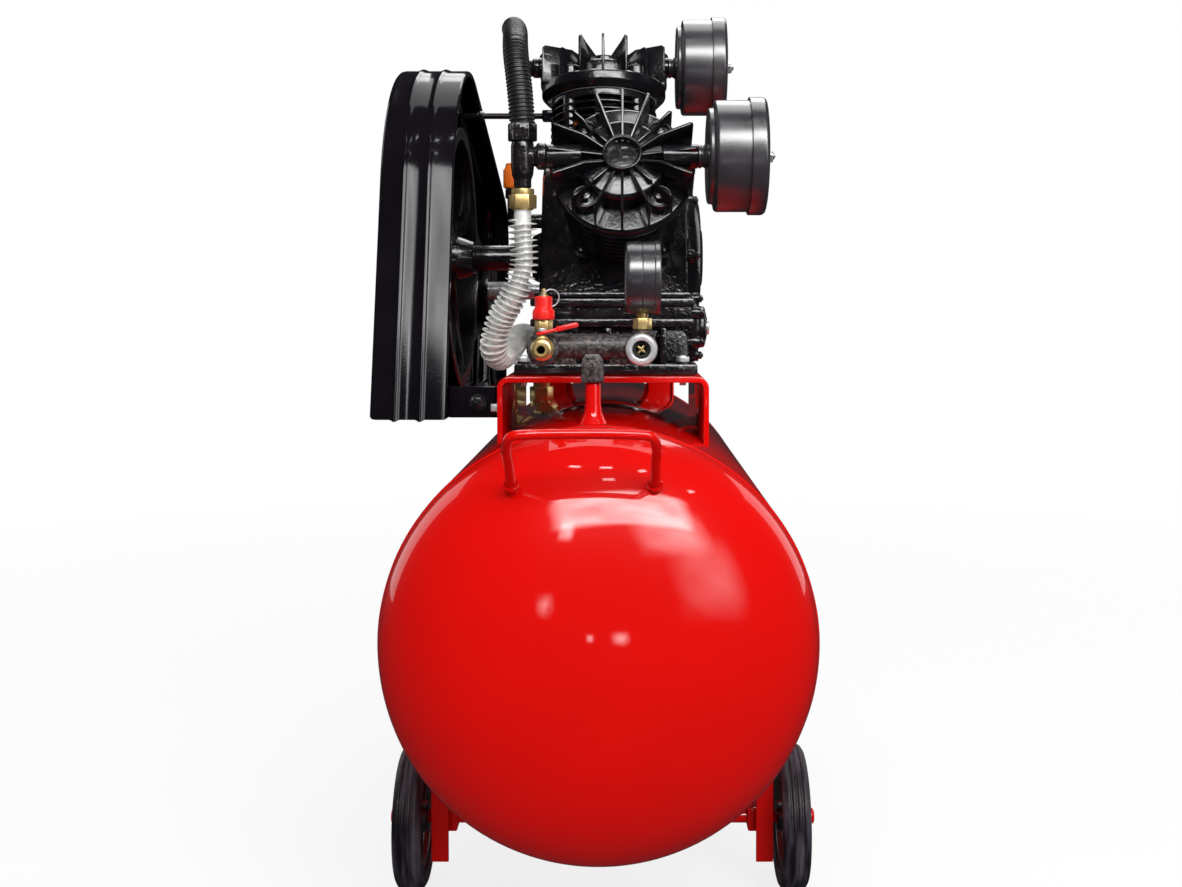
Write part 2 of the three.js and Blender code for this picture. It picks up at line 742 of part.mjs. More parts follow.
// ---------- motor and drive ----------
function makeMotor() {
  const motor = new THREE.Group();
  motor.position.set(0, MOTOR_Y, MOTOR_Z);
  compressor.add(motor);
  const ribs = [];
  for (let i = 0; i < 12; i++) {
    ribs.push(box([-80, -2.5, 80], [78, 2.5, 97]).rotateX(((i + 0.5) / 12) * 2 * Math.PI));
  }
  const outside = [[17, -104], [60, -104], [86, -92], [88, -88], [88, 92], [20, 92]];
  const shell = [...outside, [20, 82], [70, 78], [70, -84], [17, -90]];
  const footZ = SADDLE.top + GAP - MOTOR_Z;
  const feet = [];
  for (const side of [-1, 1]) {
    feet.push(box([-84, side * 80 - 22, footZ], [76, side * 80 + 22, footZ + 10]));
    feet.push(box([-84, side * 62 - 9, footZ], [76, side * 62 + 9, -50]));
  }
  add("motor_housing", join(ring(shell, 20, "x"), ...ribs, ...feet), BLACK_CAST, motor);
  const coverX = 92 + GAP;
  const cover = [[20, coverX + 42], [84, coverX + 42], [90, coverX + 36], [90, coverX], [87, coverX]];
  const coverProfile = [...cover, [87, coverX + 38], [20, coverX + 39]];
  add("fan_cover", ring(coverProfile, 20, "x"), BLACK_SHEET, motor);
  const rotor = join(disc(14, -238, 112, 16, "x"), disc(64, -70, 62, 20, "x"), disc(60, 108, 122, 16, "x"));
  add("motor_shaft", rotor, STEEL, motor);
  const terminal = join(box([-42, -38, 98], [42, 38, 134]), box([-46, -42, 134], [46, 42, 140]));
  add("terminal_box", terminal, BLACK_PLASTIC, motor);

  const side = BELT_WIDTH / 2 + 1;
  const pulley = [
    [14.5, BELT_X - 19],
    [PULLEY_R, BELT_X - 19],
    [PULLEY_R, BELT_X - side],
    [PULLEY_GROOVE, BELT_X - side + 1],
    [PULLEY_GROOVE, BELT_X + side - 1],
    [PULLEY_R, BELT_X + side],
    [PULLEY_R, BELT_X + 19],
    [14.5, BELT_X + 19],
  ];
  add("motor_pulley", ring(pulley, 16, "x"), BLACK_CAST, motor);
}

// The loop round two circles: tangent points on the outside of both.
function beltLoop(bigR, smallR) {
  const dy = MOTOR_Y - CRANK_Y;
  const dz = MOTOR_Z - CRANK_Z;
  const heading = Math.atan2(dz, dy);
  const spread = Math.acos((bigR - smallR) / Math.hypot(dy, dz));
  const points = [];
  const sweep = (centreY, centreZ, radius, from, to, count) => {
    for (let i = 0; i <= count; i++) {
      const angle = from + ((to - from) * i) / count;
      points.push([centreY + radius * Math.cos(angle), centreZ + radius * Math.sin(angle)]);
    }
  };
  sweep(CRANK_Y, CRANK_Z, bigR, heading + spread, heading + 2 * Math.PI - spread, 24);
  sweep(MOTOR_Y, MOTOR_Z, smallR, heading - spread, heading + spread, 8);
  return points;
}

function makeBelt() {
  const thick = 9;
  const bigR = FLYWHEEL.groove + 1.6;
  const smallR = PULLEY_GROOVE + 1.2;
  const half = BELT_WIDTH / 2 - 1;
  const outer = prismAlongX(beltLoop(bigR + thick, smallR + thick), BELT_X - half, BELT_X + half);
  const inner = prismAlongX(beltLoop(bigR, smallR), BELT_X - half - 5, BELT_X + half + 5);
  add("drive_belt", cut(outer, inner), RUBBER);
}

// The guard's outline lies in a frame that slopes down to the back; the bottom edge is level.
function guardShape(inset) {
  const tilt = rad(GUARD.tilt);
  const arc = GUARD.arc - inset;
  const top = 240 - inset;
  const back = 540 - inset;
  const round = 90 - inset;
  const front = -GUARD.front + inset;
  const level = -185 + inset;
  const floorAt = (u) => (level + u * Math.sin(tilt)) / Math.cos(tilt);
  const points = [[front, floorAt(front)], [front, 40]];
  for (let i = 1; i <= 8; i++) {
    const angle = Math.PI - (i / 8) * (Math.PI / 2);
    points.push([10 + arc * Math.cos(angle), 40 + arc * Math.sin(angle)]);
  }
  for (let i = 0; i <= 5; i++) {
    const angle = Math.PI / 2 - (i / 5) * (Math.PI / 2);
    points.push([back - round + round * Math.cos(angle), top - round + round * Math.sin(angle)]);
  }
  points.push([back, floorAt(back)]);
  return points.map(([u, v]) => [
    CRANK_Y + u * Math.cos(tilt) + v * Math.sin(tilt),
    CRANK_Z - u * Math.sin(tilt) + v * Math.cos(tilt),
  ]);
}

function makeGuard() {
  const g = GUARD;
  const outer = prismAlongX(guardShape(0), g.outer, g.inner);
  const inner = prismAlongX(guardShape(g.sheet), g.outer + g.sheet, g.inner + 5);
  const bracket = box([g.inner - 2, -296, 577], [SADDLE.left - GAP, -292, 612]);
  const tab = box([g.inner - 40, -298, 576], [g.inner, -270, 579]);
  const stay = disc(4, g.outer + 1, REAR_X - 70 - GAP, 10, "x").translate(0, -62, 941);
  add("belt_guard", join(cut(outer, inner), bracket, tab, stay), BLACK_SHEET);
}

makeTank();
makeHandle();
makeDrain();
makeRunningGear();
makeBases();
makeCrankcase();
makeCrank();
makeFlywheel();
makeCylinder("front", FRONT_TILT, FRONT_X);
makeCylinder("rear", REAR_TILT, REAR_X);
makeFilter("front", FRONT_TILT, FRONT_X, FRONT_FILTER_X);
makeFilter("rear", REAR_TILT, REAR_X, REAR_FILTER_X);
makeTransferLine();
makeDischargeLine();
makeManifold();
makeSafetyValve();
makeBallValve();
makeOutlet();
makeGauge();
makeMotor();
makeBelt();
makeGuard();

export default assembly;
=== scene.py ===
"""Visual model of the belt-driven air compressor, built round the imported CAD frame.

Shapes are drawn in millimetres in the machine's own frame (Y = 0 at the middle of the tank's length), and are
turned into metres in the CAD frame when a piece is made.
"""

import math

import bmesh
import bpy
from mathutils import Matrix, Vector


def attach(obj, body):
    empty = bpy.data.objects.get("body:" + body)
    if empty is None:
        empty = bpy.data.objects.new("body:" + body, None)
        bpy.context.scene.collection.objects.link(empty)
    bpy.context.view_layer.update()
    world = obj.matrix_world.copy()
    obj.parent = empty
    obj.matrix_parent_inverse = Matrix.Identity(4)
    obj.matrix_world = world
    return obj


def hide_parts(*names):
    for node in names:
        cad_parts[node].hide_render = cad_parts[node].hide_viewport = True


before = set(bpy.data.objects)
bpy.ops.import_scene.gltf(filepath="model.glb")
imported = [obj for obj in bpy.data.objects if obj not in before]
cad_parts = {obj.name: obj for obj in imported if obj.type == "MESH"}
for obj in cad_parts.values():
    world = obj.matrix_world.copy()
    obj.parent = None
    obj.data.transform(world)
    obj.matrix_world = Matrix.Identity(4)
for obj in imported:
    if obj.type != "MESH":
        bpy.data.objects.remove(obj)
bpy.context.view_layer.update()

MM = 0.001
ORIGIN_Y = 11.9  # the CAD frame's origin lies this far in front of the tank's middle

# ---------------------------------------------------------------- sizes shared by several pieces
TANK_Z, TANK_R, TANK_HALF = 355.0, 225.0, 423.0
DISH_R, DISH_DEPTH = 224.0, 112.0
WHEEL_X, WHEEL_Y, WHEEL_R, WHEEL_WIDTH = 226.5, -174.0, 84.0, 33.0
CRANK_Y, CRANK_Z = -94.0, 760.0
SADDLE_TOP = 622.7
FRONT_TILT, REAR_TILT, FRONT_X, REAR_X = 65.5, -10.0, 24.0, 0.0
DECK, PORT, PORT_REACH, HEAD_R, HEAD_BOLT = 200.0, 247.0, 82.0, 78.5, 40.5
TEE_X, ELBOW_X, OIL_CAP_X, PUMP_BOLT_Y = -84.0, -112.0, -111.0, (-268, 22)
LINE_Y, LINE_Z, VALVE_X, COUPLER_X = -394.0, 657.0, -57.0, 43.6
GAUGE_X, GAUGE_Z = 45.0, 730.0
MOTOR_Y, MOTOR_Z = 346.0, 723.0
BELT_X = -203.0


def on_bank(tilt, distance):
    """Y and Z of a point on a cylinder's axis."""
    a = math.radians(tilt)
    return CRANK_Y - distance * math.sin(a), CRANK_Z + distance * math.cos(a)


# ---------------------------------------------------------------- forms: plain vertices and faces
class Form:
    """A bag of vertices and faces in millimetres, which can be moved, turned and added to another."""

    def __init__(self, verts, faces):
        self.verts = [Vector(v) for v in verts]
        self.faces = [tuple(f) for f in faces]

    def move(self, x=0.0, y=0.0, z=0.0):
        return Form([v + Vector((x, y, z)) for v in self.verts], self.faces)

    def turn(self, axis, degrees):
        m = Matrix.Rotation(math.radians(degrees), 3, axis)
        return Form([m @ v for v in self.verts], self.faces)

    def __add__(self, other):
        start = len(self.verts)
        moved = [tuple(i + start for i in f) for f in other.faces]
        return Form(self.verts + other.verts, self.faces + moved)


def joined(forms):
    forms = list(forms)
    total = forms[0]
    for form in forms[1:]:
        total = total + form
    return total


def skin(rows, columns, closed=False):
    """Faces between rings of vertices, and between the last ring and the first where closed."""
    faces = []
    for j in range(rows if closed else rows - 1):
        m = (j + 1) % rows
        for i in range(columns):
            k = (i + 1) % columns
            faces.append((j * columns + i, j * columns + k, m * columns + k, m * columns + i))
    return faces


def around(radius, degrees):
    """The two coordinates of a point on a circle."""
    a = math.radians(degrees)
    return radius * math.cos(a), radius * math.sin(a)


def ring_of(form, radius, angles):
    """Copies of a form set round the X axis, all the same way up."""
    return joined(form.move(0, *around(radius, a)) for a in angles)


def fan_of(form, count):
    """Copies of a form turned round the X axis."""
    return joined(form.turn("X", 360 * i / count) for i in range(count))


def at_places(form, places):
    """Copies of a form moved to (x, y) places."""
    return joined(form.move(x, y, 0) for x, y in places)


def along(form, axis):
    """A form made along Z, turned to lie along another axis."""
    if axis == "X":
        return form.turn("Y", 90)
    if axis == "Y":
        return form.turn("X", -90)
    return form


def softened(form, width, segments=2, angle=30.0):
    """The form with its sharp edges bevelled."""
    bm = bmesh.new()
    points = [bm.verts.new(v) for v in form.verts]
    for face in form.faces:
        bm.faces.new([points[i] for i in face])
    bmesh.ops.remove_doubles(bm, verts=bm.verts, dist=1e-4)
    bmesh.ops.recalc_face_normals(bm, faces=bm.faces)
    sharp = [e for e in bm.edges if len(e.link_faces) == 2 and e.calc_face_angle(0) > math.radians(angle)]
    bmesh.ops.bevel(
        bm, geom=sharp, offset=width, segments=segments, profile=0.5, affect="EDGES", clamp_overlap=True
    )
    bm.verts.index_update()
    made = Form([v.co.copy() for v in bm.verts], [[v.index for v in f.verts] for f in bm.faces])
    bm.free()
    return made


def rounded(profile, radius, steps=3, closed=False):
    """A profile of [radius, height] pairs with its corners rounded."""
    points = [Vector((p[0], p[1])) for p in profile]
    out = []
    count = len(points)
    for i, p in enumerate(points):
        if not closed and i in (0, count - 1):
            out.append(p)
            continue
        before, after = points[i - 1] - p, points[(i + 1) % count] - p
        reach = min(radius, before.length * 0.45, after.length * 0.45)
        if reach < 0.02 or before.angle(after, 0) > math.radians(172):
            out.append(p)
            continue
        a, b = p + before.normalized() * reach, p + after.normalized() * reach
        for k in range(steps + 1):
            t = k / steps
            out.append(a * (1 - t) ** 2 + p * 2 * t * (1 - t) + b * t**2)
    return [(v.x, v.y) for v in out]


def revolve(profile, segments=64, axis="Z", soft=0.0, closed=False):
    """A turned form from [radius, height] pairs."""
    if soft:
        profile = rounded(profile, soft, closed=closed)
    verts, faces = [], []
    rows = len(profile)
    for i in range(segments):
        a = 2 * math.pi * i / segments
        for r, h in profile:
            verts.append((r * math.cos(a), r * math.sin(a), h))
    last = rows if closed else rows - 1
    for i in range(segments):
        j = (i + 1) % segments
        for k in range(last):
            n = (k + 1) % rows
            quad = [i * rows + k, j * rows + k, j * rows + n, i * rows + n]
            if profile[k][0] < 1e-6:
                quad = [quad[0], quad[2], quad[3]]
            elif profile[n][0] < 1e-6:
                quad = [quad[0], quad[1], quad[2]]
            faces.append(quad)
    return along(Form(verts, faces), axis)


def disc(radius, low, high, segments=32, axis="Z", soft=1.0):
    return revolve([(0, low), (radius, low), (radius, high), (0, high)], segments, axis, soft)


def block(low, high, soft=1.0):
    (x0, y0, z0), (x1, y1, z1) = low, high
    verts = [(x, y, z) for x in (x0, x1) for y in (y0, y1) for z in (z0, z1)]
    faces = [(0, 1, 3, 2), (4, 6, 7, 5), (0, 4, 5, 1), (2, 3, 7, 6), (0, 2, 6, 4), (1, 5, 7, 3)]
    form = Form(verts, faces)
    return softened(form, soft) if soft else form


def prism(outline, low, high, axis="X", soft=1.0):
    """An outline of pairs extruded: pairs are (y, z) along X, (x, z) along Y and (x, y) along Z."""
    place = {
        "X": lambda p, h: (h, p[0], p[1]),
        "Y": lambda p, h: (p[0], h, p[1]),
        "Z": lambda p, h: (p[0], p[1], h),
    }[axis]
    n = len(outline)
    verts = [place(p, low) for p in outline] + [place(p, high) for p in outline]
    faces = [tuple(range(n)), tuple(range(2 * n - 1, n - 1, -1))]
    faces += [(i, (i + 1) % n, n + (i + 1) % n, n + i) for i in range(n)]
    form = Form(verts, faces)
    return softened(form, soft) if soft else form


def hexagon(across, low, high, axis="Z", soft=0.8):
    """A hexagonal nut or bolt head with chamfered corners."""
    outline = [around(across / math.sqrt(3), 60 * i) for i in range(6)]
    return along(prism(outline, low, high, "Z", soft), axis)


def bolt(across, height, washer=1.5):
    """A hex bolt head standing on Z = 0, with its washer and a shallow dimple."""
    plate = revolve([(0, 0), (across * 0.85, 0), (across * 0.85, washer), (0, washer)], 24, soft=0.4)
    head = hexagon(across, washer, washer + height, soft=0.7)
    stud = disc(across * 0.28, washer + height - 1, washer + height + 1.6, 14, soft=0.5)
    return plate + head + stud


def arc(cx, cy, radius, start, end, steps):
    """Points on an arc, with its ends in degrees."""
    turned = [around(radius, start + (end - start) * i / steps) for i in range(steps + 1)]
    return [(cx + x, cy + y) for x, y in turned]


# ---------------------------------------------------------------- curves and sweeps
def smooth_path(points, step):
    """Evenly spaced points on a Catmull-Rom curve through the given ones."""
    pts = [Vector(p) for p in points]
    pts = [pts[0] * 2 - pts[1]] + pts + [pts[-1] * 2 - pts[-2]]
    dense = []
    for i in range(1, len(pts) - 2):
        a, b, c, d = pts[i - 1 : i + 3]
        t0 = 0.0
        t1 = t0 + max((b - a).length, 1e-6) ** 0.5
        t2 = t1 + max((c - b).length, 1e-6) ** 0.5
        t3 = t2 + max((d - c).length, 1e-6) ** 0.5
        for k in range(24):
            t = t1 + (t2 - t1) * k / 24
            a1 = a * ((t1 - t) / (t1 - t0)) + b * ((t - t0) / (t1 - t0))
            a2 = b * ((t2 - t) / (t2 - t1)) + c * ((t - t1) / (t2 - t1))
            a3 = c * ((t3 - t) / (t3 - t2)) + d * ((t - t2) / (t3 - t2))
            b1 = a1 * ((t2 - t) / (t2 - t0)) + a2 * ((t - t0) / (t2 - t0))
            b2 = a2 * ((t3 - t) / (t3 - t1)) + a3 * ((t - t1) / (t3 - t1))
            dense.append(b1 * ((t2 - t) / (t2 - t1)) + b2 * ((t - t1) / (t2 - t1)))
    dense.append(pts[-2])
    lengths = [0.0]
    for p, q in zip(dense, dense[1:]):
        lengths.append(lengths[-1] + (q - p).length)
    count = max(2, round(lengths[-1] / step))
    out, k = [], 0
    for i in range(count + 1):
        want = lengths[-1] * i / count
        while k < len(lengths) - 2 and lengths[k + 1] < want:
            k += 1
        span = lengths[k + 1] - lengths[k]
        out.append(dense[k].lerp(dense[k + 1], (want - lengths[k]) / span if span else 0))
    return out


def frames_along(path):
    """(point, tangent, normal, side) at each point, carried along without twist."""
    tangents = []
    for i in range(len(path)):
        ahead, behind = path[min(i + 1, len(path) - 1)], path[max(i - 1, 0)]
        tangents.append((ahead - behind).normalized())
    normal = tangents[0].orthogonal().normalized()
    out = []
    for i, (p, t) in enumerate(zip(path, tangents)):
        if i:
            normal = (tangents[i - 1].rotation_difference(t) @ normal).normalized()
        out.append((p, t, normal, t.cross(normal)))
    return out


def sweep(points, radius, segments=20, step=3.0):
    """A round tube along a path. radius is a number or a function of the distance along it."""
    path = smooth_path(points, step)
    frames = frames_along(path)
    size = radius if callable(radius) else lambda s: radius
    verts, travelled = [], 0.0
    for i, (p, _, n, b) in enumerate(frames):
        if i:
            travelled += (p - path[i - 1]).length
        r = size(travelled)
        for k in range(segments):
            a = 2 * math.pi * k / segments
            verts.append(p + (n * math.cos(a) + b * math.sin(a)) * r)
    faces = skin(len(path), segments)
    end = (len(path) - 1) * segments
    faces.append(tuple(range(segments - 1, -1, -1)))
    faces.append(tuple(end + k for k in range(segments)))
    return Form(verts, faces)


def spiral_fin(points, inner, outer, pitch, thick, start, stop, ripple=0.0, per_turn=36):
    """A thin strip wound edgewise round a path, from start to stop along its length."""
    path = smooth_path(points, 1.0)
    frames = frames_along(path)
    unit = (path[1] - path[0]).length
    verts = []
    count = int((stop - start) / pitch * per_turn)
    for i in range(count + 1):
        angle = 2 * math.pi * i / per_turn
        s = start + pitch * i / per_turn
        at = min(s / unit, len(frames) - 1.001)
        k = int(at)
        p0, t, n, b = frames[k]
        p = p0.lerp(frames[k + 1][0], at - k)
        out = n * math.cos(angle) + b * math.sin(angle)
        sway = t * (ripple * math.sin(9 * angle))
        verts += [
            p + out * inner + sway - t * thick,
            p + out * outer - t * thick * 0.45,
            p + out * outer + t * thick * 0.45,
            p + out * inner + sway + t * thick,
        ]
    faces = skin(count + 1, 4) + [(3, 2, 1, 0), tuple(4 * count + k for k in range(4))]
    return Form(verts, faces)


# ---------------------------------------------------------------- materials
def node(tree, kind, values=None, **settings):
    """A new shader node. values gives its inputs: a socket is linked to, and anything else is set."""
    made = tree.nodes.new("ShaderNode" + kind)
    for key, value in settings.items():
        setattr(made, key, value)
    for key, value in (values or {}).items():
        if isinstance(value, bpy.types.NodeSocket):
            tree.links.new(value, made.inputs[key])
        else:
            made.inputs[key].default_value = value
    return made


def math_of(tree, operation, *values):
    """The result of a maths node on sockets and numbers."""
    return node(tree, "Math", dict(enumerate(values)), operation=operation).outputs["Value"]


def shader(name, settings):
    """A new material, its node tree and its main shader node with some of its inputs set."""
    mat = bpy.data.materials.new(name)
    mat.use_nodes = True
    bsdf = mat.node_tree.nodes["Principled BSDF"]
    for socket, value in settings.items():
        bsdf.inputs[socket].default_value = value
    return mat, mat.node_tree, bsdf


def noise_of(tree, coord, scale, detail=4.0, rough=0.55, stretch=(1, 1, 1)):
    """The value of a noise texture."""
    place = node(tree, "Mapping", {"Scale": stretch, "Vector": coord}).outputs["Vector"]
    values = {"Scale": scale, "Detail": detail, "Roughness": rough, "Vector": place}
    return node(tree, "TexNoise", values).outputs["Fac"]


def ramp_of(tree, source, first, last):
    """The colour of an eased ramp between two (position, colour) stops."""
    ramp = node(tree, "ValToRGB", {"Fac": source})
    ramp.color_ramp.interpolation = "EASE"
    for element, (position, colour) in zip(ramp.color_ramp.elements, (first, last)):
        element.position = position
        element.color = colour
    return ramp.outputs["Color"]


def bump_of(tree, height, strength, distance):
    return node(tree, "Bump", {"Strength": strength, "Distance": distance, "Height": height})


def grey(v):
    return (v, v, v, 1)


def finish(
    name, base, tint, rough, metal=0.0, coat=0.0, coat_rough=0.05, spec=0.5, mottle=18.0, grain=260.0,
    grain_depth=0.0004, grain_detail=4.0, wave=0.0, wear=None, stretch=(1, 1, 1),
):
    """One procedural finish: mottled colour and gloss, grain bump, and worn edges where wear gives a colour.

    base and tint are the two colours that the mottling mixes, and rough is the lowest and highest roughness.
    """
    settings = {"Base Color": (*base, 1), "Roughness": rough[0], "Metallic": metal}
    settings |= {"Coat Weight": coat, "Coat Roughness": coat_rough, "Specular IOR Level": spec}
    mat, tree, bsdf = shader(name, settings)
    coord = node(tree, "TexCoord").outputs["Object"]
    broad = noise_of(tree, coord, mottle, stretch=stretch)
    colour = ramp_of(tree, broad, (0.35, (*base, 1)), (0.7, (*tint, 1)))
    gloss = ramp_of(tree, broad, (0.3, grey(rough[0])), (0.75, grey(rough[1])))
    fine = noise_of(tree, coord, grain, grain_detail, 0.5, stretch)
    bump = bump_of(tree, fine, 0.6, grain_depth)
    if wave:
        swell = bump_of(tree, noise_of(tree, coord, 9.0, 2.0), 0.35, wave)
        tree.links.new(swell.outputs["Normal"], bump.inputs["Normal"])
    if wear:
        edges = node(tree, "NewGeometry").outputs["Pointiness"]
        mask = ramp_of(tree, edges, (0.56, grey(0)), (0.68, grey(1)))
        patch = ramp_of(tree, fine, (0.5, grey(0)), (0.68, grey(1)))
        mix = {"Factor": math_of(tree, "MULTIPLY", mask, patch), "A": colour, "B": (*wear, 1)}
        colour = node(tree, "Mix", mix, data_type="RGBA").outputs["Result"]
    tree.links.new(colour, bsdf.inputs["Base Color"])
    tree.links.new(gloss, bsdf.inputs["Roughness"])
    tree.links.new(bump.outputs["Normal"], bsdf.inputs["Normal"])
    return mat


def make_finishes():
    """One finish for each of the record's material slots, and a few for small details."""
    black_wear = (0.06, 0.055, 0.055)
    return {
        "red_paint": finish(
            "red_enamel", (0.63, 0.0022, 0.0010), (0.56, 0.002, 0.0008), (0.3, 0.36), coat=1.0,
            coat_rough=0.045, spec=0.05, mottle=3, grain=420, grain_depth=0.00005, wave=0.0016,
            wear=(0.34, 0.006, 0.005),
        ),
        "black_cast": finish(
            "black_cast_enamel", (0.0045, 0.0042, 0.0055), (0.010, 0.008, 0.010), (0.16, 0.3), coat=0.6,
            coat_rough=0.06, spec=0.35, mottle=26, grain_depth=0.0006, grain_detail=1.5, wave=0.001,
            wear=black_wear,
        ),
        "black_rough": finish(
            "black_rough_enamel", (0.0045, 0.004, 0.005), (0.012, 0.009, 0.011), (0.14, 0.26), coat=0.6,
            coat_rough=0.07, spec=0.35, mottle=60, grain=190, grain_depth=0.0022, grain_detail=1.2,
            wave=0.001, wear=black_wear,
        ),
        "black_sheet": finish(
            "black_sheet_enamel", (0.0035, 0.0030, 0.0045), (0.006, 0.0045, 0.007), (0.08, 0.14), coat=0.25,
            coat_rough=0.04, spec=0.12, mottle=8, grain=420, grain_depth=0.0001, wave=0.0016,
        ),
        "black_plastic": finish(
            "black_moulded", (0.020, 0.018, 0.022), (0.034, 0.029, 0.034), (0.26, 0.36), coat=1.0,
            coat_rough=0.24, spec=1.0, mottle=14, grain=700, grain_depth=0.00012,
        ),
        "hose": finish(
            "black_hose", (0.007, 0.007, 0.008), (0.013, 0.012, 0.013), (0.32, 0.45),
            mottle=30, grain=600, grain_depth=0.0001,
        ),
        "foot_rubber": finish(
            "belt_and_foot_rubber", (0.016, 0.016, 0.016), (0.03, 0.029, 0.028), (0.6, 0.8),
            mottle=30, grain=500, grain_depth=0.0003,
        ),
        "tyre": finish(
            "tyre_rubber", (0.008, 0.006, 0.010), (0.075, 0.062, 0.080), (0.42, 0.66),
            mottle=30, grain_depth=0.0009, stretch=(3.2, 0.5, 0.5),
        ),
        "bright_steel": finish(
            "zinc_steel", (0.80, 0.80, 0.81), (0.6, 0.6, 0.62), (0.24, 0.4), metal=0.6,
            mottle=60, grain=900, grain_depth=0.00008, wear=(0.9, 0.9, 0.9),
        ),
        "fin_aluminium": finish(
            "fin_aluminium", (0.88, 0.88, 0.85), (0.66, 0.65, 0.62), (0.32, 0.5), metal=0.35,
            mottle=90, grain=900, grain_depth=0.0001,
        ),
        "brass": finish(
            "machined_brass", (0.90, 0.68, 0.30), (0.66, 0.46, 0.18), (0.26, 0.4), metal=0.85,
            mottle=55, grain=800, grain_depth=0.00008, wear=(0.98, 0.86, 0.55),
        ),
        "rough_iron": finish(
            "rough_casting", (0.018, 0.012, 0.013), (0.11, 0.09, 0.09), (0.3, 0.55), metal=0.3, coat=0.3,
            coat_rough=0.25, mottle=260, grain=320, grain_depth=0.0022, wear=(0.22, 0.2, 0.2),
        ),
        "red_plastic": finish(
            "red_moulded", (0.75, 0.008, 0.004), (0.6, 0.006, 0.004), (0.3, 0.42), coat=0.2,
            mottle=40, grain=500, grain_depth=0.0001,
        ),
        "orange_plastic": finish(
            "orange_moulded", (0.90, 0.19, 0.012), (0.78, 0.15, 0.01), (0.35, 0.5), coat=0.2,
            mottle=40, grain=500, grain_depth=0.0001,
        ),
        # Near-black: painted shade for the ball valve's bore and the coupler's spigot inside its mouth, and
        # the real colour of the gauge's printed marks.
        "dark": finish(
            "bore_shade_and_print_black", (0.004, 0.004, 0.004), (0.008, 0.008, 0.008), (0.6, 0.8),
            mottle=60, grain=400, grain_depth=0.0002,
        ),
        "white_dial": finish(
            "dial_card", (0.82, 0.82, 0.79), (0.76, 0.76, 0.73), (0.5, 0.6),
            mottle=30, grain=500, grain_depth=0.00003,
        ),
    }


FINISH = make_finishes()


# ---------------------------------------------------------------- making pieces
def piece(name, form, slot, body="frame", replaces=(), finish_name=None, smooth=32.0):
    """A named object from a form in the machine's frame, riding on a body."""
    mesh = bpy.data.meshes.new(name)
    shift = Vector((0, ORIGIN_Y, 0))
    mesh.from_pydata([(v + shift) * MM for v in form.verts], [], form.faces)
    bm = bmesh.new()
    bm.from_mesh(mesh)
    bmesh.ops.remove_doubles(bm, verts=bm.verts, dist=1e-7)
    bmesh.ops.recalc_face_normals(bm, faces=bm.faces)
    bm.to_mesh(mesh)
    bm.free()
    mesh.polygons.foreach_set("use_smooth", [True] * len(mesh.polygons))
    mesh.set_sharp_from_angle(angle=math.radians(smooth))
    mesh.materials.append(FINISH[finish_name or slot])
    obj = bpy.data.objects.new(name, mesh)
    bpy.context.collection.objects.link(obj)
    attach(obj, body)
    if replaces:
        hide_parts(*replaces)
    return obj


# ---------------------------------------------------------------- tank
def dish_profile():
    """Outside and inside of a dished end, as [radius, distance from the tank's middle]."""
    wall = 4.0
    outside = [(DISH_R - 0.6, TANK_HALF - 6), (DISH_R - 0.6, TANK_HALF + 1)]
    for i in range(1, 41):
        a = math.pi / 2 * i / 40
        outside.append((DISH_R * math.cos(a) if i < 40 else 0.0, TANK_HALF + 0.3 + DISH_DEPTH * math.sin(a)))
    inside = []
    for i in range(17):
        a = math.pi / 2 * (1 - i / 16)
        r = (DISH_R - wall) * math.cos(a) if i else 0.0
        inside.append((r, TANK_HALF + 0.3 + (DISH_DEPTH - wall) * math.sin(a)))
    return outside + inside


def make_tank():
    wall = [(221, -TANK_HALF), (TANK_R, -TANK_HALF), (TANK_R, TANK_HALF), (221, TANK_HALF)]
    shell = revolve(wall, 160, "Y", 1.2, True).move(0, 0, TANK_Z)
    piece("tank_shell_skin", shell, "red_paint", replaces=["tank_shell"])
    profile = dish_profile()
    dish = revolve(profile + profile[:1], 160, "Y")
    piece("rear_dish_skin", dish.move(0, 0, TANK_Z), "red_paint", replaces=["rear_dish"])
    front = dish.turn("Z", 180).move(0, 0, TANK_Z)
    piece("front_dish_skin", front, "red_paint", replaces=["front_dish"])
    for name, side in (("front_seam_weld", -1), ("rear_seam_weld", 1)):
        piece(name, weld_ring(TANK_R - 1.4, side * (TANK_HALF + 0.6)).move(0, 0, TANK_Z), "red_paint")
    seam = block((-1.8, -TANK_HALF + 8, TANK_R - 2), (1.8, TANK_HALF - 8, TANK_R + 0.7), 0.8)
    piece("shell_seam_weld", seam.turn("Y", 137).move(0, 0, TANK_Z), "red_paint")


def weld_ring(radius, y, thick=2.3, segments=220, ripples=110):
    """A rippled weld bead round the tank."""
    verts, sides = [], 8
    for i in range(segments):
        a = 2 * math.pi * i / segments
        lump = thick * (1 + 0.10 * math.sin(ripples * a) + 0.05 * math.sin(17 * a))
        for k in range(sides):
            b = 2 * math.pi * k / sides
            r = radius + lump * 0.8 * math.cos(b)
            verts.append((r * math.cos(a), y + lump * 1.25 * math.sin(b), r * math.sin(a)))
    return Form(verts, skin(segments, sides, closed=True))


def bead(at, radius, thick=2.2, normal=(0, 0, 1), ripples=14):
    """A small rippled weld ring round a tube's foot."""
    ring = weld_ring(radius, 0, thick, 56, ripples)
    turn = Vector((0, 1, 0)).rotation_difference(Vector(normal).normalized()).to_matrix()
    return Form([turn @ v for v in ring.verts], ring.faces).move(*at)


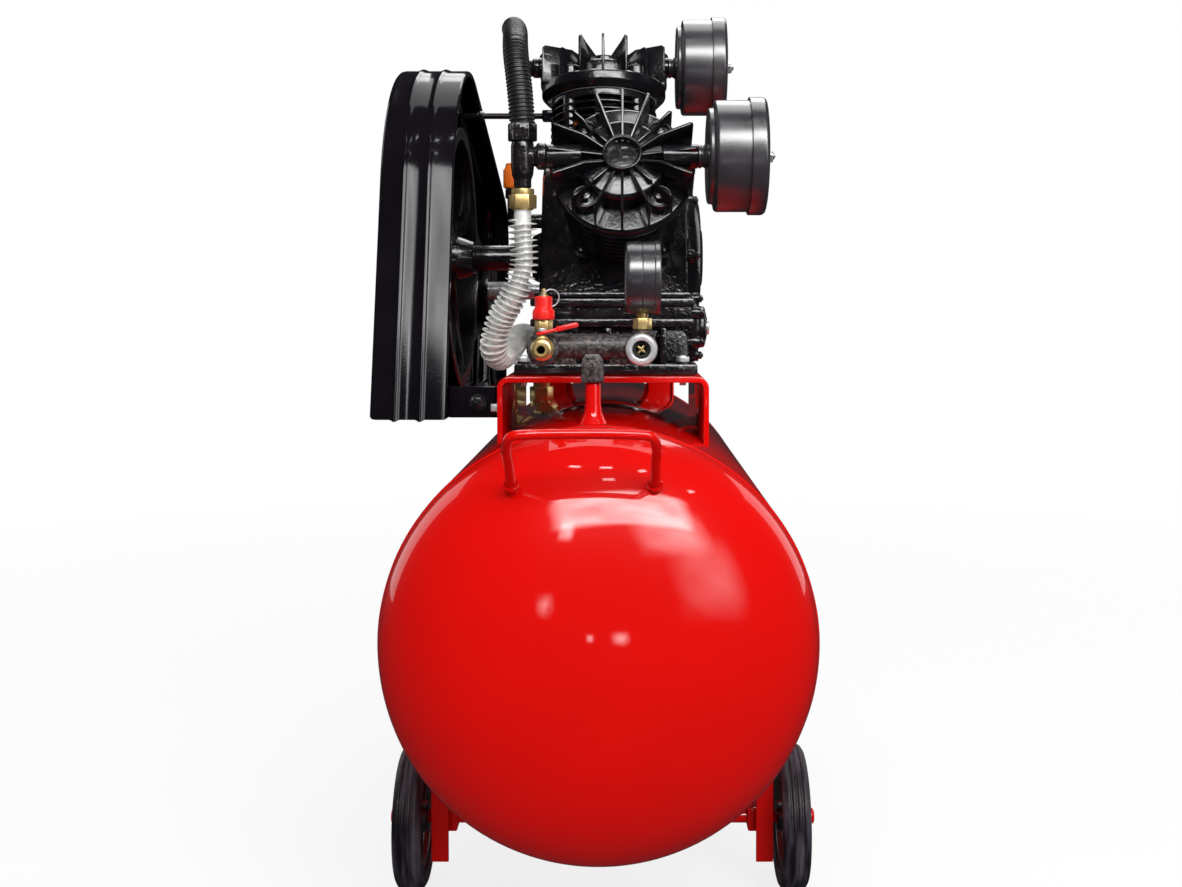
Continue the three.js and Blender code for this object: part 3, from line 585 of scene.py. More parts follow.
def make_handle():
    left, right, bend = -83, 56, 12
    bar, root = (-554, 583), (-484, 521)
    half = ((bar[0] + root[0]) / 2, (bar[1] + root[1]) / 2)

    def corner(x, side):
        return [
            (x, *root),
            (x, *half),
            (x, bar[0] + bend, bar[1] - bend),
            (x + side * bend * 0.4, bar[0] + 2, bar[1] - 2),
            (x + side * bend * 1.4, *bar),
        ]

    rod = sweep(corner(left, 1) + corner(right, -1)[::-1], 4.9, 18, 2.5)
    piece("handle_rod", rod, "red_paint", replaces=["front_handle"])
    for name, x in (("left_handle_weld", left), ("right_handle_weld", right)):
        foot = bead((x, -493.4, 529), 6.0, 2.3, (0, -0.87, 0.5))
        piece(name, foot, "red_paint")


def make_drain():
    top = TANK_Z - TANK_R - 0.6
    boss = disc(13, top - 5, top + 3, 24, soft=1.2)
    body = boss + hexagon(18.6, top - 16, top - 4) + disc(5.8, top - 30, top - 15, 20, soft=0.8)
    piece("drain_cock", body, "brass", replaces=["drain_valve"])
    knob_top = top - 30.3
    wing = block((-13.8, -1.5, knob_top - 9), (13.8, 1.5, knob_top - 1), 1.2)
    tap = disc(6, knob_top - 10, knob_top, 20, soft=1.0) + wing
    piece("drain_tap_wing", tap, "brass", "drain_tap", ["drain_knob"])


# ---------------------------------------------------------------- running gear
def make_wheel(side, label):
    """One wheel: a grooved tyre on its rim, both on the wheel's body, and the cap that stays on the axle."""
    body = label + "_wheel"
    half = WHEEL_WIDTH / 2
    place = (side * WHEEL_X, WHEEL_Y, WHEEL_R)
    tread = [(60.4, -14), (62, -15.5), (69, 0.9 - half), (74, -half), (78.5, 0.9 - half), (81.8, 3.2 - half)]
    grooves = []
    for centre in (-6.4, 0, 6.4):
        grooves += [(83.9, centre - 1.9), (82.2, centre - 1.0), (82.2, centre + 1.0), (83.9, centre + 1.9)]
    far = [(r, -h) for r, h in tread[::-1]]
    profile = tread + [(83.6, -half + 5.4)] + grooves + [(83.6, half - 5.4)] + far
    tyre = revolve(rounded(profile, 1.1, 2, True), 112, "X", closed=True)
    wall_rings = joined(
        revolve([(r - 1.2, h), (r - 0.5, h + s), (r + 0.5, h + s), (r + 1.2, h)], 96, "X", closed=True)
        for s, h in ((0.9, half - 1.4), (-0.9, -half + 1.4))
        for r in (67.5, 77.0)
    )
    piece(label + "_tyre_ring", (tyre + wall_rings).move(*place), "tyre", body, [label + "_tyre"])
    rim = [(17, half), (19, 7), (48, 5), (53, 12.5), (59.8, 13)]
    rim = [(8.4, -half), (8.4, half), *rim, *[(r, -h) for r, h in rim[::-1]]]
    wheel = revolve(rim, 72, "X", 1.4, True) + fan_of(block((-9, -2.2, 16), (9, 2.2, 51), 1.4), 6)
    piece(label + "_rim_hub", wheel.move(*place), "black_plastic", body, [label + "_rim"])
    cap = revolve([(0, 0), (9.5, 0), (9.5, 8), (7.8, 10.6), (0, 11.3)], 40, "X", 1.4)
    washer = disc(12.5, -0.8, 0.8, 32, "X", 0.4)
    at = (side * (WHEEL_X + half + 1.4), WHEEL_Y, WHEEL_R)
    end = (cap if side > 0 else cap.turn("Z", 180)).move(*at)
    piece(label + "_axle_cap", end, "red_paint")
    piece(label + "_axle_washer", washer.move(*at), "bright_steel")


def make_running_gear():
    for side, label in ((-1, "left"), (1, "right")):
        make_wheel(side, label)
        for node in (label + "_wheel_bracket", label + "_rear_leg"):
            dress(node, "red_paint", 1.0)
        dress(label + "_rear_foot", "foot_rubber", 2.0)
        clamp = block((174.4, -14, -14), (187, 14, 15), 2.0)
        if side < 0:
            clamp = clamp.turn("Z", 180)
        piece(label + "_axle_clamp", clamp.move(0, WHEEL_Y, WHEEL_R), "red_paint")
    reach = WHEEL_X + WHEEL_WIDTH / 2 + 4
    shaft = disc(7.9, -reach, reach, 32, "X", 1.0).move(0, WHEEL_Y, WHEEL_R)
    piece("axle_rod", shaft, "red_paint", replaces=["axle"])


def dress(node, slot_name, bevel):
    """A CAD node that is kept: its finish, and softened edges."""
    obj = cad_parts[node]
    obj.data.materials.clear()
    obj.data.materials.append(FINISH[slot_name])
    mod = obj.modifiers.new("soft_edges", "BEVEL")
    mod.width = bevel * MM
    mod.segments = 2
    mod.limit_method = "ANGLE"
    mod.angle_limit = math.radians(28)
    mod.harden_normals = False


# ---------------------------------------------------------------- bases
def arch_outline(left, right, top, plate, corner, low):
    outer = [(left, low)] + arc(left + corner, top - corner, corner, 180, 90, 8)
    outer += arc(right - corner, top - corner, corner, 90, 0, 8) + [(right, low)]
    inner = [(right - plate, low)] + arc(right - corner, top - corner, corner - plate, 0, 90, 8)
    inner += arc(left + corner, top - corner, corner - plate, 90, 180, 8) + [(left + plate, low)]
    return outer + inner


def bolt_through(x, y, z, across=13.0):
    """A bolt head above a plate and its nut and thread end below."""
    below = hexagon(across, -16, -8, soft=0.7) + disc(across * 0.28, -24, -7, 14, soft=0.6)
    return (bolt(across, 7) + below).move(x, y, z)


def make_bases():
    saddle = prism(arch_outline(-113, 119, SADDLE_TOP, 6, 12, 540), -314, 46, "Y", 0.9)
    piece("saddle_plate", saddle, "red_paint", replaces=["pump_saddle"])
    front, back = 232, 448
    base = prism(arch_outline(-100, 100, SADDLE_TOP, 6, 12, 540), front, back, "Y", 0.9)
    flanges = [
        block((side * 80 - 18, y, 545), (side * 80 + 18, y + 5, SADDLE_TOP - 3), 1.0)
        for side in (-1, 1)
        for y in (front, back - 5)
    ]
    piece("motor_base_plate", base + joined(flanges), "red_paint", replaces=["motor_base"])
    pump_bolts = joined(bolt_through(x, y, 635.2) for x in (-87, 92) for y in PUMP_BOLT_Y)
    piece("pump_foot_bolts", pump_bolts, "bright_steel")
    side_nut = bolt(12, 7).turn("Y", -90).move(-113, -292, 588)
    piece("guard_bracket_nut", side_nut, "bright_steel")
    motor_bolts = joined(bolt_through(x, MOTOR_Y + y, 633.2, 12) for x in (-66, 60) for y in (-84, 84))
    piece("motor_foot_bolts", motor_bolts, "bright_steel")


# ---------------------------------------------------------------- pump
def face_point(tilt, across, distance=104.0):
    a = math.radians(tilt)
    return (
        -distance * math.sin(a) + across * math.cos(a),
        distance * math.cos(a) + across * math.sin(a),
    )


def make_crankcase():
    """The pump's casting, its covers and bolts, with the crank's axis at the middle of each form."""
    left, right = -72, 100
    front, back = -172, 117
    sump_y, sump_z, sump_bolt_r, cover_bolt_r = -120, -84, 33, 80
    outline = [
        (-165, -124), (110, -124), (105, -51), (90, 40),
        *[face_point(tilt, across) for tilt in (REAR_TILT, FRONT_TILT) for across in (60, -60)], (-150, -51),
    ]
    body = prism(outline, left, right, "X", 7.0)
    foot = block((left - 25, -190, -136.6), (right + 8, 130, -124), 3.0)
    pad = disc(15, -137, -123, 28, soft=2.0) + disc(13, -126, -121.6, 28, soft=1)
    pads = at_places(pad, [(x, y - CRANK_Y) for x in (-82, 92) for y in PUMP_BOLT_Y])
    ledge = block((left - 8, front, -83), (right + 5, back, -74), 2.2)
    shelf = block((left - 8, front, -60), (right + 5, back, -51), 2.2)
    web = block((left - 3, front + 5, -76), (right + 2, back - 4, -58), 2.0)
    step = block((left - 4, front + 10, -50), (right + 2, back - 9, -44), 2.0)
    bearing = revolve([(16.6, -88), (27, -88), (31, -80), (34, -70), (16.6, -70)], 48, "X", 1.5, True)
    pipe = disc(9, 40, 85.8, 28).move(OIL_CAP_X, 0, 0) + disc(9, -117, left + 4, 28, "X", 4).move(0, 0, 46)
    collar = disc(11.5, 74, 85.8, 28, soft=1.5).move(OIL_CAP_X, 0, 0)
    bulge = revolve([(0, 90), (38, 90), (38, 102), (31, 110), (24, 113), (24, 119), (0, 124.6)], 48, "X", 3)
    sump_angles, cover_angles = range(30, 390, 60), range(0, 360, 60)
    lugs = ring_of(disc(7, 90, 112, 20, "X", 1.5), sump_bolt_r, sump_angles)
    sump_side = (bulge + lugs).move(0, sump_y, sump_z)
    foot_ribs = [block((x - 4, -182, -125), (x + 4, -160, -84), 2.5) for x in (-52, 8, 70)]
    flange = disc(61, 92, 104, 64, soft=2.5)
    flanges = flange.turn("X", FRONT_TILT).move(FRONT_X) + flange.turn("X", REAR_TILT).move(REAR_X)
    parts = [body, foot, ledge, shelf, web, step, bearing, pipe, collar, sump_side, pads, flanges]
    whole = joined(parts + foot_ribs).move(0, CRANK_Y, CRANK_Z)
    piece("crankcase_casting", whole, "black_cast", replaces=["crankcase"], finish_name="black_rough")
    screw = bolt(7, 4, 0.8).turn("X", 90).move(25, CRANK_Y - 160, CRANK_Z - 97)
    piece("drain_screw", screw, "bright_steel")
    sump_bolts = ring_of(bolt(8, 4, 0.8).turn("Y", 90).move(111.6, 0, 0), sump_bolt_r, sump_angles)
    sump_bolts = sump_bolts.move(0, CRANK_Y + sump_y, CRANK_Z + sump_z)
    piece("sump_cover_bolts", sump_bolts, "bright_steel", finish_name="black_cast")
    glass = revolve([(0, 0), (9, 0), (9, 3), (7, 3.4), (7, 2), (0, 2.4)], 32, "X", 0.4)
    piece("oil_sight_window", glass.move(121.4, CRANK_Y + sump_y, CRANK_Z + sump_z), "bright_steel")

    cover = [(0, 119.2), (58, 119.2), (70, 117.6), (79, 111), (82.8, 103), (82.8, 100.3), (60, 100.3)]
    ears = ring_of(disc(9, 100.6, 109, 24, "X", 1.5), cover_bolt_r, cover_angles)
    lid = (revolve(cover, 96, "X", 4.0) + ears).move(0, CRANK_Y, CRANK_Z)
    piece("side_cover_lid", lid, "black_cast", replaces=["side_cover"])
    ring = revolve([(24, 118.6), (26, 122.5), (34, 122.5), (36, 118.6)], 64, "X", 0.8, True)
    piece("side_cover_ring", ring.move(0, CRANK_Y, CRANK_Z), "black_cast")
    heads = ring_of(bolt(9, 5, 1).turn("Y", 90).move(108.8, 0, 0), cover_bolt_r, cover_angles)
    piece("side_cover_bolts", heads.move(0, CRANK_Y, CRANK_Z), "black_cast")

    grip = [block((-1.6, 12.4, 88), (1.6, 14, 110), 0.7).turn("Z", 15 * i) for i in range(24)]
    cap = revolve([(0, 86.4), (12.9, 86.4), (12.9, 111), (11, 114), (11, 117.6), (0, 118)], 48, soft=1.5)
    cap = (cap + joined(grip)).move(OIL_CAP_X, CRANK_Y, CRANK_Z)
    piece("oil_cap_body", cap, "orange_plastic", "oil_cap", ["oil_filler_cap"])


def make_crank():
    shaft = disc(15.9, -232, -50, 48, "X", 1.5)
    webs = disc(53.5, -52, -38, 48, "X", 2) + disc(53.5, 44, 58, 48, "X", 2)
    pin = disc(15, -40, 46, 40, "X").move(0, 0, 27)
    whole = (shaft + webs + pin + disc(14, 56, 110, 40, "X")).move(0, CRANK_Y, CRANK_Z)
    piece("crankshaft_turned", whole, "bright_steel", "crank", ["crankshaft"], finish_name="black_cast")
    nut = hexagon(24, -243, -231, "X", 1.2) + disc(19, -233.2, -229, 32, "X", 0.6)
    piece("flywheel_nut", nut.move(0, CRANK_Y, CRANK_Z), "bright_steel", "crank")


def make_flywheel():
    inner, outer, left, right = 146, 162, -232, -174.5
    groove = [(outer, -212), (152, -210.5), (152, -195.5), (outer, -194)]
    rim = [(inner, left), (outer, left), *groove, (outer, right), (inner, right), (149, -203)]
    hub = [(16.2, -226), (27, -226), (30, -205), (27, -180), (20, -161), (16.2, -161)]
    arm = prism([(-11, 20), (11, 20), (15, 60), (17, 148), (-17, 148), (-15, 60)], -212, -195, "X", 4.5)
    ridge = prism([(-3, 20), (3, 20), (3, 148), (-3, 148)], -219, -188, "X", 2.0)
    whole = revolve(rim, 128, "X", 1.5, True) + revolve(hub, 48, "X", 2.0, True) + fan_of(arm + ridge, 5)
    piece("flywheel_casting", whole.move(0, CRANK_Y, CRANK_Z), "black_cast", "crank", ["flywheel"])


def square(reach):
    """The four corners of a square round the Z axis."""
    return [(x, y) for x in (-reach, reach) for y in (-reach, reach)]


def bank(form, tilt, x):
    """A form along Z, leant over onto a cylinder's axis."""
    return form.turn("X", tilt).move(x, CRANK_Y, CRANK_Z)


def cylinder_form():
    low, top = 104.3, 199.7
    profile = [(40, top), (40, low), (58, low), (58, low + 11), (49, low + 14)]
    for i in range(7):
        fin = low + 22 + i * 9.2
        profile += [(49, fin), (67, fin + 0.6), (67, fin + 2.8), (49, fin + 3.6)]
    profile += [(49, top - 10), (66, top - 9), (66, top)]
    barrel = revolve(profile, 96, soft=0.8, closed=True)
    posts = at_places(disc(9.5, low + 12, top - 1, 24, soft=1), square(HEAD_BOLT))
    lugs = [block((x - 11, y - 11, low), (x + 11, y + 11, low + 10), 3.0) for x, y in square(42)]
    return barrel + posts + joined(lugs)


def blade_outlines(index, foot):
    """The outlines of one of the head's 16 blades. Those over the ports and the bolts are in two parts."""
    near = [(21, 253), (16, 253)]
    if index % 8 == 0:
        over_port = [(16, PORT), (PORT_REACH, PORT), (PORT_REACH, 263), (79, 266.5), (60, 262), *near]
        return [over_port, [(16, 240), (48, 240), (48, 256), (21, 252), (16, 250)]]
    if index % 4 == 2:
        outer = [(47, foot), (76, foot), (76, 253), (73, 256), (60, 254), (47, 246)]
        return [outer, [(16, 240), (46, 240), (44, 252), (21, 252), (16, 250)]]
    if index % 8 in (1, 7):
        return [[(16, foot), (83, foot), (83, 263), (80, 266), (44, 265), *near]]
    return [[(16, foot), (76, foot), (76, 263), (73, 266.5), (60, 262), *near]]


def head_form():
    """A cylinder head: flange, dome, two ports, blades, and a boss with a sunk lid."""
    flange = DECK + 20
    foot = flange - 2
    rim = [(HEAD_R - 7, DECK), (HEAD_R, DECK + 7), (HEAD_R, flange - 3), (HEAD_R - 3, flange)]
    plate = revolve([(0, DECK), *rim, (0, flange)], 96, soft=1.2)
    dome = [(0, flange - 1), (50, flange - 1), (49, 240), (46, 243.5), (21, 246), (0, 246)]
    port = disc(13, 44, PORT_REACH, 40, "X", 1.5).move(0, 0, PORT)
    port_root = block((44, -9, foot), (PORT_REACH - 2, 9, PORT - 2), 3.0)
    ports = [form.turn("Z", turn) for form in (port, port_root) for turn in (0, 180)]
    ring = [
        (16.2, 240), (21.8, 240), (21.8, 256.2), (21, 257.6), (18.8, 257.6), (17.6, 256.2), (16.2, 249),
        (16.2, 246),
    ]
    boss = revolve(ring, 64, soft=0.6, closed=True)
    lid = revolve([(0, 244), (16.6, 244), (16.6, 249.2), (0, 249.6)], 48, soft=0.5)
    blades = [
        prism(outline, -1.5, 1.5, "Y", 0.7).turn("Z", 22.5 * i)
        for i in range(16)
        for outline in blade_outlines(i, foot)
    ]
    pocket = [(0, foot), (14.5, foot), (14.5, 231), (13.4, 233), (11.6, 233), (10.6, 230), (0, 229.6)]
    pads = at_places(revolve(pocket, 40, soft=0.6), square(HEAD_BOLT))
    return joined([plate, revolve(dome, 96, soft=2.0), boss, lid, *ports, *blades, pads])


def make_cylinder(label, tilt, x):
    """A cylinder with its head, nuts and gasket, and the finishes of its piston and rod."""

    def on_cylinder(name, form, slot, **options):
        piece(label + name, bank(form, tilt, x), slot, **options)

    on_cylinder("_barrel", cylinder_form(), "black_cast", replaces=[label + "_cylinder"])
    on_cylinder("_head_casting", head_form(), "black_cast", replaces=[label + "_head"])
    head_bolts = at_places(bolt(12, 7, 1.2).move(0, 0, 229.4), square(HEAD_BOLT))
    on_cylinder("_head_bolts", head_bolts, "bright_steel", finish_name="black_cast")
    base_nuts = at_places(bolt(12, 7, 1.5).move(0, 0, 114.3), square(46))
    on_cylinder("_base_nuts", base_nuts, "bright_steel", finish_name="black_cast")
    gasket = revolve([(40.5, 199.4), (66.3, 199.4), (66.3, 200.5), (40.5, 200.5)], 72, closed=True)
    on_cylinder("_head_gasket", gasket, "bright_steel", finish_name="fin_aluminium")
    dress(label + "_piston", "fin_aluminium", 0.8)
    dress(label + "_rod", "bright_steel", 0.8)


def make_filter(label, tilt, head_x, body_x):
    """An air filter: a cup on its neck, the foam inside, a lid with grip slots, and a wing nut."""
    y, z = on_bank(tilt, PORT)
    neck = head_x + PORT_REACH + 0.3 - body_x
    face = 63.4
    cup = [
        (0, neck), (12.8, neck), (12.8, neck + 3), (11.4, neck + 4), (11.4, -5), (14, -1), (50, 0),
        (51.5, 1.5), (51.8, 6), (58.5, 7), (60, 9.5), (60, 56), (57, 56), (57, 10), (4, 10), (4, 72), (0, 74),
    ]
    cup = revolve(cup, 112, "X", 1.6).move(body_x, y, z)
    piece(label + "_filter_cup", cup, "black_plastic", replaces=[label + "_filter_base"])
    lid = [
        (4.6, 56.4), (60.5, 56.4), (60.5, 44), (face, 44), (face, 58.6), (61.4, 62), (48, 62.9), (44, 61.6),
        (22, 61.6), (18, 62.9), (4.6, 62.9),
    ]
    slots = fan_of(block((62.4, 26, -1.2), (63.2, 41, 1.2), 0.4), 18)
    cover = (revolve(lid, 112, "X", 1.0, True) + slots).move(body_x, y, z)
    piece(label + "_filter_lid", cover, "black_plastic", replaces=[label + "_filter_cover"])
    foam = revolve([(30, 11), (52, 11), (52, 55), (30, 55)], 64, "X", 1.0, True)
    piece(label + "_filter_element", foam.move(body_x, y, z), "black_plastic", finish_name="foot_rubber")
    hub = revolve([(4.4, face), (7.4, face), (6.2, face + 7.6), (4.4, face + 7.6)], 32, "X", 0.5, True)
    wing = [(5, face + 1), (13, face + 4), (13.5, face + 8), (9, face + 7.5), (5, face + 5)]
    wing = prism(wing, -1.2, 1.2, "Z", 0.7)
    ear = Form([(v.y, v.x, v.z) for v in wing.verts], wing.faces)
    nut = (hub + ear + ear.turn("X", 180)).move(body_x, y, z)
    piece(label + "_wing_nut_bright", nut, "bright_steel", label + "_nut", [label + "_wing_nut"])


# ---------------------------------------------------------------- air lines
def corrugation(distance):
    """The radius of the ribbed sleeve at a distance along it."""
    return 13.4 + 0.7 * math.tanh(2.5 * math.sin(2 * math.pi * distance / 4.2))


def make_transfer_line():
    """The tee on the front head, the elbow on the rear head and the ribbed sleeve between them."""
    front_y, front_z = on_bank(FRONT_TILT, PORT)
    rear_y, rear_z = on_bank(REAR_TILT, PORT)
    reach = FRONT_X - PORT_REACH - 0.3 - TEE_X
    down = [(0, 828), (9.5, 828), (9.5, 838), (11.5, 842), (12.6, 852), (12.6, 874), (11, 880), (0, 880)]
    down = revolve(down, 40, soft=2).move(0, 0, -front_z)
    across = [(0, 0), (10.5, 0), (10.5, reach - 12), (14.5, reach - 9), (14.5, reach), (0, reach)]
    across = revolve(across, 40, "X", 1.5)
    ferrule = hexagon(28, 878.6 - front_z, 897.8 - front_z, soft=1.4)
    collar = revolve([(0, 890), (15.5, 890), (14.5, 896), (0, 898)], 40, soft=1).move(0, 0, -front_z)
    tee = (down + across + ferrule + collar).move(TEE_X, front_y, front_z)
    piece("front_tee_casting", tee, "black_cast", replaces=["front_tee"], finish_name="black_rough")

    stub = REAR_X - PORT_REACH - 0.3 - ELBOW_X
    upright = revolve([(0, -12), (11.5, -12), (12, 10), (13, 11), (13, 18), (0, 18)], 40, soft=1.5)
    level = [(0, 0), (10.5, 0), (10.5, stub - 8), (12.5, stub - 7), (12.5, stub), (0, stub)]
    elbow = (upright + revolve(level, 40, "X", 1.2)).move(ELBOW_X, rear_y, rear_z)
    piece("rear_elbow_casting", elbow, "black_cast", replaces=["rear_elbow"], finish_name="black_rough")

    route = [
        (TEE_X, front_y, 897), (TEE_X - 1, front_y, 912), (TEE_X - 3, front_y + 2, 935),
        (TEE_X - 8, front_y + 13, 975), (-97, -250, 1008), (-104, -185, 1026), (-109, -110, 1040),
        (ELBOW_X, rear_y - 16, 1041), (ELBOW_X, rear_y, rear_z + 27), (ELBOW_X, rear_y, rear_z + 17),
    ]
    sleeve = sweep(route, corrugation, 36, 0.55)
    piece("arch_sleeve", sleeve, "black_plastic", replaces=["arch_tube"], finish_name="hose")


def make_discharge_line():
    front_y, _ = on_bank(FRONT_TILT, PORT)
    valve_x, valve_y = -91, 121
    nut = hexagon(27, 806, 821, soft=1.3) + disc(12.6, 820, 827.4, 32, soft=1.2)
    nut += disc(11.5, 804.6, 807, 32, soft=0.8)
    piece("compression_nut", nut.move(TEE_X, front_y, 0), "brass", replaces=["discharge_nut"])
    route = [
        (TEE_X, front_y, 805.6), (TEE_X, front_y, 780), (TEE_X + 1, front_y, 745),
        (TEE_X - 10, front_y + 2, 713), (-110, -308, 685), (-118, -298, 656), (-114, -278, 644),
        (-106, -245, 650), (-101, -205, 660),
        (-101, -120, 663), (-101, -30, 661), (-98, 60, 655), (-93, 105, 640), (valve_x, valve_y, 616),
        (valve_x, valve_y, 601.5),
    ]
    piece("discharge_core", sweep(route, 9.2, 24, 3.0), "fin_aluminium", replaces=["discharge_tube"])
    path = smooth_path(route, 1.0)
    length = sum((b - a).length for a, b in zip(path, path[1:]))
    fin = spiral_fin(route, 7.8, 15.4, 6.2, 0.75, 12, length - 24, ripple=0.8)
    piece("discharge_fin", fin, "fin_aluminium", smooth=60)
    valve = hexagon(29.6, 565, 586, soft=1.4) + disc(11.8, 585, 600.4, 32, soft=1.2)
    valve += disc(16, 558, 566, 32, soft=1)
    piece("check_valve_body", valve.move(valve_x, valve_y, 0), "brass", replaces=["check_valve"])


def make_manifold():
    """The cast bar with its two bosses, the coupler's spigot with a cross inside, and the riser below."""
    front, riser_x = LINE_Y - 17, -6
    boss = [(0, front), (15.5, front), (17, front + 2), (17, LINE_Y + 15), (0, LINE_Y + 17)]
    boss = revolve(boss, 48, "Y", 1.6)
    bar = [(0, -71), (13.4, -71), (13.8, -50), (13, -20), (13.4, 20), (14, 58), (0, 58)]
    bar = revolve(bar, 48, "X", 2.5).move(0, LINE_Y, LINE_Z + 2)
    stub = [(-18.5, 622), (5.5, 622), (4.6, 646), (1, 652), (-14, 652), (-17.4, 646)]
    stub = prism(stub, LINE_Y - 12, LINE_Y + 12, "Y", 2.2)
    cheeks = []
    for s in (-1, 1):
        outline = [(s * 17, 640), (s * 52, 642), (s * 52, 660), (s * 17, 660)]
        cheeks.append(prism(outline, LINE_Y - 6, LINE_Y + 6, "Y", 2).move(riser_x, 0, 0))
    valve_seat = disc(11, 657, 674, 32, soft=1.2).move(VALVE_X, LINE_Y, 0)
    gauge_seat = disc(11, 657, 675.8, 32, soft=1.2).move(GAUGE_X, LINE_Y, 0)
    bosses = boss.move(VALVE_X, 0, LINE_Z) + boss.move(COUPLER_X, 0, LINE_Z)
    body = joined([bosses, bar, stub, valve_seat, gauge_seat, *cheeks])
    piece("manifold_casting", body, "rough_iron", replaces=["manifold"])
    # The spigot is steel but drawn near-black: painted shade inside the coupler's mouth.
    spigot = [(5.8, front + 1), (5.8, front - 13), (8.6, front - 13), (8.6, front + 1)]
    tube = revolve(spigot, 40, "Y", 0.5, True).move(COUPLER_X, 0, LINE_Z)
    piece("coupler_body", tube, "bright_steel", finish_name="dark")
    cross = block((-1.1, front - 10, -5.4), (1.1, front - 4, 5.4), 0.5)
    cross = (cross.turn("Y", 38) + cross.turn("Y", -52)).move(COUPLER_X, 0, LINE_Z)
    piece("coupler_cross", cross, "brass")
    pipe = revolve([(0, 572), (19, 574), (14, 582), (9.6, 590), (8.2, 600), (8.2, 622), (0, 622)], 40, soft=3)
    piece("riser", pipe.move(riser_x, LINE_Y, 0), "red_paint", replaces=["riser_pipe"])


def make_safety_valve():
    """The brass valve, and the red cap, pin and pull ring that lift off it together."""
    body = hexagon(17, 674.4, 685.5, soft=1) + disc(8.8, 684, 686.5, 28, soft=0.6)
    body += disc(4.8, 686, 712, 20, soft=0.6)
    pin = disc(3, 711, 715, 18, soft=0.8) + disc(2.1, 714, 718.6, 16, soft=0.8)
    piece("safety_valve_brass", body.move(VALVE_X, LINE_Y, 0), "brass", replaces=["safety_valve_body"])
    bore = 5.6
    profile = [(bore, 686.9), (11.4, 686.9), (11.4, 696.2), (9.2, 698.4), (9.2, 709.6), (8.2, 710.9)]
    ridges = [block((10.9, -0.8, 688), (11.5, 0.8, 695), 0.25).turn("Z", 15 * i) for i in range(24)]
    shell = revolve([*profile, (bore, 710.9)], 48, soft=0.8, closed=True)
    cap = (shell + joined(ridges)).move(VALVE_X, LINE_Y, 0)
    piece("safety_cap_red", cap, "red_plastic", "safety_cap", ["safety_valve_cap"])
    piece("safety_pin", pin.move(VALVE_X, LINE_Y, 0), "brass", "safety_cap")
    loop = [(x, 0, z) for x, z in (around(9, a) for a in range(0, 361, 15))]
    ring = sweep(loop, 0.7, 10, 1.0).turn("Z", 25).turn("Y", 30).move(VALVE_X + 7.5, LINE_Y - 2, 709)
    piece("safety_ring", ring, "bright_steel", "safety_cap")


def make_ball_valve():
    """The brass hose tap and its red lever, which turns on the stem."""
    face, bore = LINE_Y - 17.3, 4.2
    stem_y = face - 8
    barrel = [
        (bore, face - 31.9), (6.9, face - 31.9), (6.9, face - 15), (9.5, face - 14), (11.9, face - 11),
        (11.9, face - 1), (10.5, face), (bore, face),
    ]
    body = revolve(barrel, 48, "Y", 0.6, True)
    for y in (19, 22.5, 26, 29):
        body += revolve([(6.6, face - y), (7.3, face - y - 0.7), (6.6, face - y - 1.4)], 40, "Y", closed=True)
    # A near-black disc sunk in the bore: painted shade, so the hole reads dark though the barrel is brass.
    bore_shade_disc = disc(4.1, face - 12, face - 9, 24, "Y", 0.2).move(VALVE_X, 0, LINE_Z)
    piece("ball_valve_bore_painted_shade", bore_shade_disc, "brass", finish_name="dark")
    stem = (disc(4, 0, 14, 24) + hexagon(10, 9, 12.6, soft=0.5)).move(0, stem_y, 0)
    valve = (body + stem).move(VALVE_X, 0, LINE_Z)
    piece("ball_valve_brass", valve, "brass", replaces=["ball_valve_body"])
    edge = [(-5.6, -4), (4, -5.6), (16, -3.6), (24, -4.4), (36, -4.2), (38, -2)]
    blade = prism(edge + [(x, -y) for x, y in edge[::-1]], 14.4, 17.4, "Z", 0.9)
    grip = block((14, -4.6, 13.4), (37.8, 4.6, 18.9), 2.0)
    lever = (blade + grip).move(0, 0, -15.9).turn("Y", -13).move(0, 0, 16.6).move(VALVE_X, stem_y, LINE_Z)
    piece("ball_valve_handle", lever, "red_plastic", "valve_lever", ["ball_valve_lever"])
    nut = hexagon(7, 18, 21.4, soft=0.5).move(VALVE_X, stem_y, LINE_Z)
    piece("ball_valve_nut", nut, "bright_steel", "valve_lever")


def make_outlet():
    """The quick coupler's sliding sleeve."""
    back = LINE_Y - 20.3
    mouth = back - 16
    bore, waist, outer = 9.2, 15.2, 16
    profile = [
        (bore, mouth + 1), (10.4, mouth), (14.2, mouth), (outer, mouth + 2), (outer, mouth + 5),
        (waist, mouth + 6), (waist, mouth + 10), (outer, mouth + 11), (outer, back - 1.4), (14.6, back),
        (bore, back),
    ]
    sleeve = revolve(profile, 64, "Y", 0.5, True)
    lip = revolve([(12, mouth - 0.1), (12.4, mouth - 0.6), (13.2, mouth - 0.1)], 64, "Y", closed=True)
    whole = (sleeve + lip).move(COUPLER_X, 0, LINE_Z)
    piece("coupler_sleeve_bright", whole, "bright_steel", "coupler_sleeve", ["outlet_coupler"])


